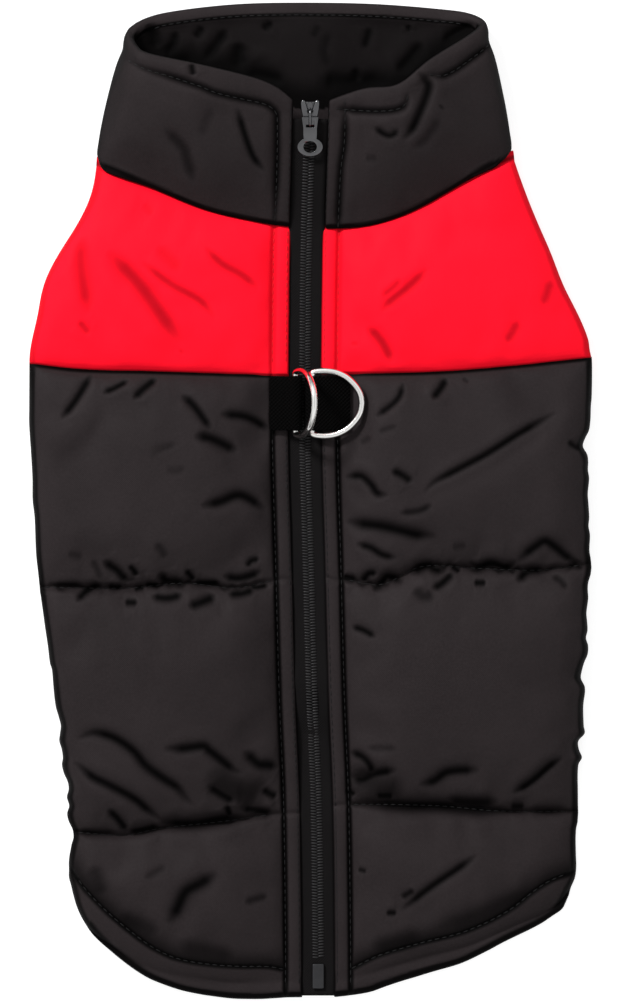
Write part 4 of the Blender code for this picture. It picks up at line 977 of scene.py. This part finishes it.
# The zip's chain: two black nylon coils that mesh along the middle, over the cord that they are sewn to.
# One element is modelled and repeated along both sides, half a pitch apart.
def plain_material(name, colour, roughness, metallic, wear, grain_scale=600.0, bump_depth=0.00005, gloss=0.5):
    """A hard surface with fine grain and soft patches that are brighter by wear."""
    made, tree, shader = new_material(name)
    shader["Metallic"].default_value = metallic
    shader["Specular IOR Level"].default_value = gloss
    coordinates = add_node(tree, "TexCoord").outputs["Object"]
    grain = add_node(tree, "TexNoise", Vector=coordinates, Scale=grain_scale, Detail=4.0, Roughness=0.6)
    patches = add_node(tree, "TexNoise", Vector=coordinates, Scale=grain_scale / 7, Detail=2.0)
    tint = add_node(tree, "Mix", {"data_type": "RGBA"}, Factor=patches.outputs[0])
    tint.inputs[6].default_value = (*colour, 1.0)
    tint.inputs[7].default_value = (*(min(c * wear, 1.0) for c in colour), 1.0)
    dullness = add_node(tree, "MapRange", i0=grain.outputs[0], i1=0.3, i2=0.7, i3=roughness * 0.8,
                        i4=roughness * 1.25)
    bump = add_node(tree, "Bump", Height=grain.outputs[0], Strength=0.4, Distance=bump_depth)
    tree.links.new(tint.outputs[2], shader["Base Color"])
    tree.links.new(dullness.outputs[0], shader["Roughness"])
    tree.links.new(bump.outputs[0], shader["Normal"])
    return made


black_coil = plain_material("black_coil", (0.012, 0.0115, 0.0118), 0.4, 0.0, 1.6, gloss=0.2)
COIL_PITCH = 1.35
COIL_SIZE = (1.62, 0.47, 0.6)  # half an element's length across the zip, width and height
COIL_OFFSET = 1.3  # of an element's middle from the zip's
COIL_DEPTH = 0.62  # of its middle below the solid's top
COIL_SLANT = 0.10
CHAIN_TOP = 170.4
CHAIN_END = -212.4
CHAIN_AHEAD = 2  # how far ahead its slope is read
chain_surface = surface_of([nodes["zip_chain"]])
coil_places = []
count = int((CHAIN_TOP - CHAIN_END) / COIL_PITCH)
for number in range(2 * count):
    sign = -1 if number % 2 else 1
    y = CHAIN_TOP - number * COIL_PITCH / 2
    middle = float(ZIP_MIDDLE(y))
    here = drop(chain_surface, middle, y)
    ahead_y = y + CHAIN_AHEAD
    ahead = drop(chain_surface, float(ZIP_MIDDLE(ahead_y)), min(ahead_y, CHAIN_TOP + 0.5))
    if here is None or ahead is None:
        continue
    pitch_angle = math.atan2(ahead.z - here.z, max(ahead.y - here.y, 0.2))
    place = Matrix.Translation((middle + sign * COIL_OFFSET, y, here.z - COIL_DEPTH))
    place = place @ Matrix.Rotation(pitch_angle, 4, "X") @ Matrix.Rotation(sign * COIL_SLANT, 4, "Z")
    coil_places.append(place @ Matrix.Diagonal((*COIL_SIZE, 1)))
coil = joined("zip_coil", bead(8, 6), coil_places)
finish_piece(coil, black_coil, "zip_chain")


# The slider: die-cast zinc with a dark plating, at the top of the closed zip. Its upper plate has two horns
# where the coils part, a smaller plate lies under the tapes, and a bail over both holds the pull.
gunmetal = plain_material("gunmetal", (0.10, 0.10, 0.104), 0.2, 1.0, 1.6)
SLIDER_SLOPE = math.atan2(15.2, 58.0)  # the chain's rise over its run below the collar's rim
PULL_JOINT = next(joint for joint in frame["joints"] if joint["name"] == "pull_turn")
HINGE_RISE = 1.0
HINGE_BACK = 2.2
PLATE_THICK = 1.7
LOWER_THICK = 1.2
LOWER_DROP = 3.0  # of the lower plate's underside below the upper one's
hinge_frame = Matrix.Translation(Vector(PULL_JOINT["pos_m"]) / MM) @ Matrix.Rotation(SLIDER_SLOPE, 4, "X")
plate_frame = hinge_frame @ Matrix.Translation((0, HINGE_BACK, -HINGE_RISE - PLATE_THICK))


def piece_of_curve(name, curve, points, cyclic):
    """A piece made of a curve with its bevel, through points (x, y, z)."""
    line = curve.splines.new("POLY")
    line.points.add(len(points) - 1)
    line.use_cyclic_u = cyclic
    for point, place_at in zip(line.points, points):
        point.co = (*place_at, 1)
    source = bpy.data.objects.new(name + "_path", curve)
    scene.collection.objects.link(source)
    bpy.context.view_layer.update()
    mesh = bpy.data.meshes.new_from_object(source.evaluated_get(bpy.context.evaluated_depsgraph_get()))
    bpy.data.objects.remove(source)
    piece = bpy.data.objects.new(name, mesh)
    scene.collection.objects.link(piece)
    return piece


def stamped(name, outline, thick, edge, placed):
    """A flat plate with rounded edges, from its half outline of (x, y) points; its underside is at z = 0."""
    curve = bpy.data.curves.new(name, "CURVE")
    curve.dimensions = "2D"
    curve.fill_mode = "BOTH"
    curve.extrude = thick / 2 - edge
    curve.bevel_depth = edge
    curve.bevel_resolution = 2
    curve.offset = -edge
    outline = outline + [(-x, y) for x, y in reversed(outline) if x > 0.01]
    piece = piece_of_curve(name, curve, [(x, y, 0) for x, y in outline], cyclic=True)
    piece.data.transform(Matrix.Scale(MM, 4) @ placed @ Matrix.Translation((0, 0, thick / 2)))
    return piece


def wire(name, path, radius, cyclic, sides, placed):
    """A round wire through points in millimetres, as a mesh with closed ends."""
    curve = bpy.data.curves.new(name, "CURVE")
    curve.dimensions = "3D"
    curve.bevel_depth = radius
    curve.bevel_resolution = sides
    curve.use_fill_caps = True
    piece = piece_of_curve(name, curve, path, cyclic)
    shape = bmesh.new()
    shape.from_mesh(piece.data)
    bmesh.ops.remove_doubles(shape, verts=list(shape.verts), dist=0.005)
    bmesh.ops.recalc_face_normals(shape, faces=list(shape.faces))
    shape.to_mesh(piece.data)
    shape.free()
    piece.data.transform(Matrix.Scale(MM, 4) @ placed)
    return piece


def smooth_by_angle(piece):
    make_active(piece)
    bpy.ops.object.shade_smooth_by_angle(angle=math.radians(35))


HORNS = [(0, -1.2), (0.5, -0.6), (2.1, 4.9), (2.5, 5.6), (3.4, 5.9), (4.1, 5.4), (4.3, 4.4), (4.1, 1.8),
         (3.3, -2.4), (3.0, -5.2), (2.4, -5.9), (0, -6.0)]
LOWER_PLATE = [(0, 4.6), (2.6, 4.4), (3.9, 3.2), (3.8, 0), (3.1, -4.6), (2.3, -5.3), (0, -5.4)]
WEDGE_SIZE = (1.1, 1.9, 2.2)  # half across, half along and the height of the post between the plates
WEDGE_AT = (0, 3.0, -1.0)
BAIL = [(0, -3.2, -1.5), (0, -3.2, 0.6), (0, -2.24, 1.35), (0, 0, 1.6), (0, 2.24, 1.35), (0, 3.2, 0.6),
        (0, 3.2, -1.5)]
BAIL_WIRE = 0.65
slider = stamped("slider_plate", HORNS, PLATE_THICK, edge=0.6, placed=plate_frame)
lower = stamped("slider_lower_plate", LOWER_PLATE, LOWER_THICK, edge=0.25,
                placed=plate_frame @ Matrix.Translation((0, 0, -LOWER_DROP)))
deselect_all()
bpy.ops.mesh.primitive_cylinder_add(vertices=20, radius=1.0, depth=1.0)
wedge = bpy.context.object
wedge.name = "slider_wedge"
wedge.data.transform(Matrix.Scale(MM, 4) @ plate_frame @ Matrix.Translation(WEDGE_AT)
                     @ Matrix.Diagonal((*WEDGE_SIZE, 1)))
bail = wire("slider_bail", rounded_path(BAIL, 4), BAIL_WIRE, cyclic=False, sides=3, placed=hinge_frame)
finish_piece(slider, gunmetal, "zip_slider")
for piece in (lower, wedge, bail):
    finish_piece(piece, gunmetal)
for piece in (slider, lower, wedge):
    smooth_by_angle(piece)


# The pull tab: a stamped plate of the same metal, waisted, with a round eye at its end. It hangs on the bail
# by its cross bar and lies down the zip.
def bevel_edges(piece, width, segments, angle):
    """Rounds the edges that are sharper than an angle in degrees."""
    make_active(piece)
    rounded = piece.modifiers.new("Edges", "BEVEL")
    rounded.width = width * MM
    rounded.segments = segments
    rounded.limit_method = "ANGLE"
    rounded.angle_limit = math.radians(angle)
    bpy.ops.object.modifier_apply(modifier=rounded.name)


pull = copy_of_node("pull_tab", "zip_pull")
bevel_edges(pull, width=0.45, segments=3, angle=50)
finish_piece(pull, gunmetal, "zip_pull", body="pull")
smooth_by_angle(pull)


# The bottom box: the small dark metal block that closes the zip at the tail, crimped on the tape.
dark_metal = plain_material("dark_metal", (0.035, 0.035, 0.037), 0.35, 1.0, 1.8)
zip_end = copy_of_node("zip_bottom_box", "zip_box")
apply_subdivision(zip_end, 2)
finish_piece(zip_end, dark_metal, "zip_box")


# The ring loops: black polypropylene webbing, ribbed across, folded round the bar of each ring with both
# ends caught in the placket's stitching.
webbing_cloth = cloth_material("black_webbing", (0.0018, 0.0017, 0.0017), roughness=0.8, gloss=0.015,
                               shade=0.4, thread_width=0.0009, weave=0.9, crinkle=0.15)
for hand in ("left", "right"):
    loop = copy_of_node("webbing_loop_" + hand, "ring_tab_" + hand)
    bevel_edges(loop, width=0.35, segments=2, angle=30)
    store_shades(loop)
    finish_piece(loop, webbing_cloth, "ring_tab_" + hand)


# The D-rings: 3 mm steel wire bent to a bow and a straight bar, butt-welded and nickel plated.
# The left one stands up in its loop, and the right one lies over on the padding.
bright_steel = plain_material("bright_steel", (0.90, 0.89, 0.87), 0.16, 1.0, 1.08, grain_scale=900.0,
                              bump_depth=0.00002)
RING_WIRE = 1.5  # half its thickness
BOW = [(0, 0), (0, 6.5), (0, 13.1), (1.5, 14.5), (6, 14.9), (11, 14.2), (15.8, 12), (19.8, 8.3), (22.3, 4.3),
       (23.1, 0)]  # half of a ring's shape, from the middle of its bar
RING_TILTS = {"left": 68.0, "right": 7.5}  # degrees up from the right, as they lie in the photo
for hand, tilt in RING_TILTS.items():
    joint = next(joint for joint in frame["joints"] if joint["name"] == "ring_" + hand + "_turn")
    half = rounded_path([(x, y, 0) for x, y in BOW], 4)
    path = half + [(x, -y, 0) for x, y, _ in reversed(half[1:-1])]
    at = Matrix.Translation(Vector(joint["pos_m"]) / MM) @ Matrix.Rotation(math.radians(-tilt), 4, "Y")
    ring = wire("steel_ring_" + hand, path, RING_WIRE, cyclic=True, sides=6, placed=at)
    finish_piece(ring, bright_steel, "d_ring_" + hand, body="ring_" + hand)


# The studio: a white light table, one soft key light from the upper left and a white surround, darker low
# down and straight above, so that the cloth keeps its contrast.
table_paint, _, paint = new_material("white_table")
paint["Base Color"].default_value = (0.35, 0.35, 0.35, 1)
paint["Roughness"].default_value = 0.9
paint["Emission Color"].default_value = (1, 1, 1, 1)
paint["Emission Strength"].default_value = 0.8
TABLE_DROP = 0.0003  # below the jacket, so that their faces don't meet
deselect_all()
bpy.ops.mesh.primitive_plane_add(size=6.0, location=(0, 0, 0))
table_top = bpy.context.object
table_top.name = "table_top"
table_top.data.transform(Matrix.Translation((0, 0, -TABLE_DROP)))
table_top.data.materials.append(table_paint)

key = bpy.data.lights.new("key", "AREA")
key.size = 0.5
key.energy = 75
key_light = bpy.data.objects.new("key", key)
key_light.location = (-1.3, 1.5, 1.7)
key_light.rotation_euler = (-key_light.location).to_track_quat("-Z", "Y").to_euler()
scene.collection.objects.link(key_light)

world = bpy.data.worlds.new("surround")
scene.world = world
world.use_nodes = True
sky = world.node_tree
skyward = add_node(sky, "SeparateXYZ", i0=add_node(sky, "TexCoord").outputs["Generated"]).outputs[2]
soft = {"interpolation_type": "SMOOTHSTEP"}
glow = add_node(sky, "MapRange", soft, i0=skyward, i1=0.1, i2=0.5, i3=0.2, i4=0.85)
hole = add_node(sky, "MapRange", soft, i0=skyward, i1=0.85, i2=0.97, i3=1.0, i4=0.75)
backdrop = sky.nodes["Background"].inputs
sky.links.new(math_node(sky, "MULTIPLY", glow.outputs[0], hole.outputs[0]), backdrop["Strength"])
backdrop["Color"].default_value = (1, 1, 1, 1)

PHOTO_HEIGHT_MM = 460.5  # what the frame's long side spans at the jacket
CLOTH_HEIGHT = 0.008  # where it spans that
CAMERA_HEIGHT = 2.0
SENSOR_MM = 36
camera_data = bpy.data.cameras.new("camera")
camera_data.sensor_width = SENSOR_MM
camera_data.lens = SENSOR_MM * (CAMERA_HEIGHT - CLOTH_HEIGHT) / (PHOTO_HEIGHT_MM * MM)
camera = bpy.data.objects.new("camera", camera_data)
camera.location = (-0.0007, -0.0002, CAMERA_HEIGHT)
scene.collection.objects.link(camera)
scene.camera = camera
scene.view_settings.view_transform = "Standard"
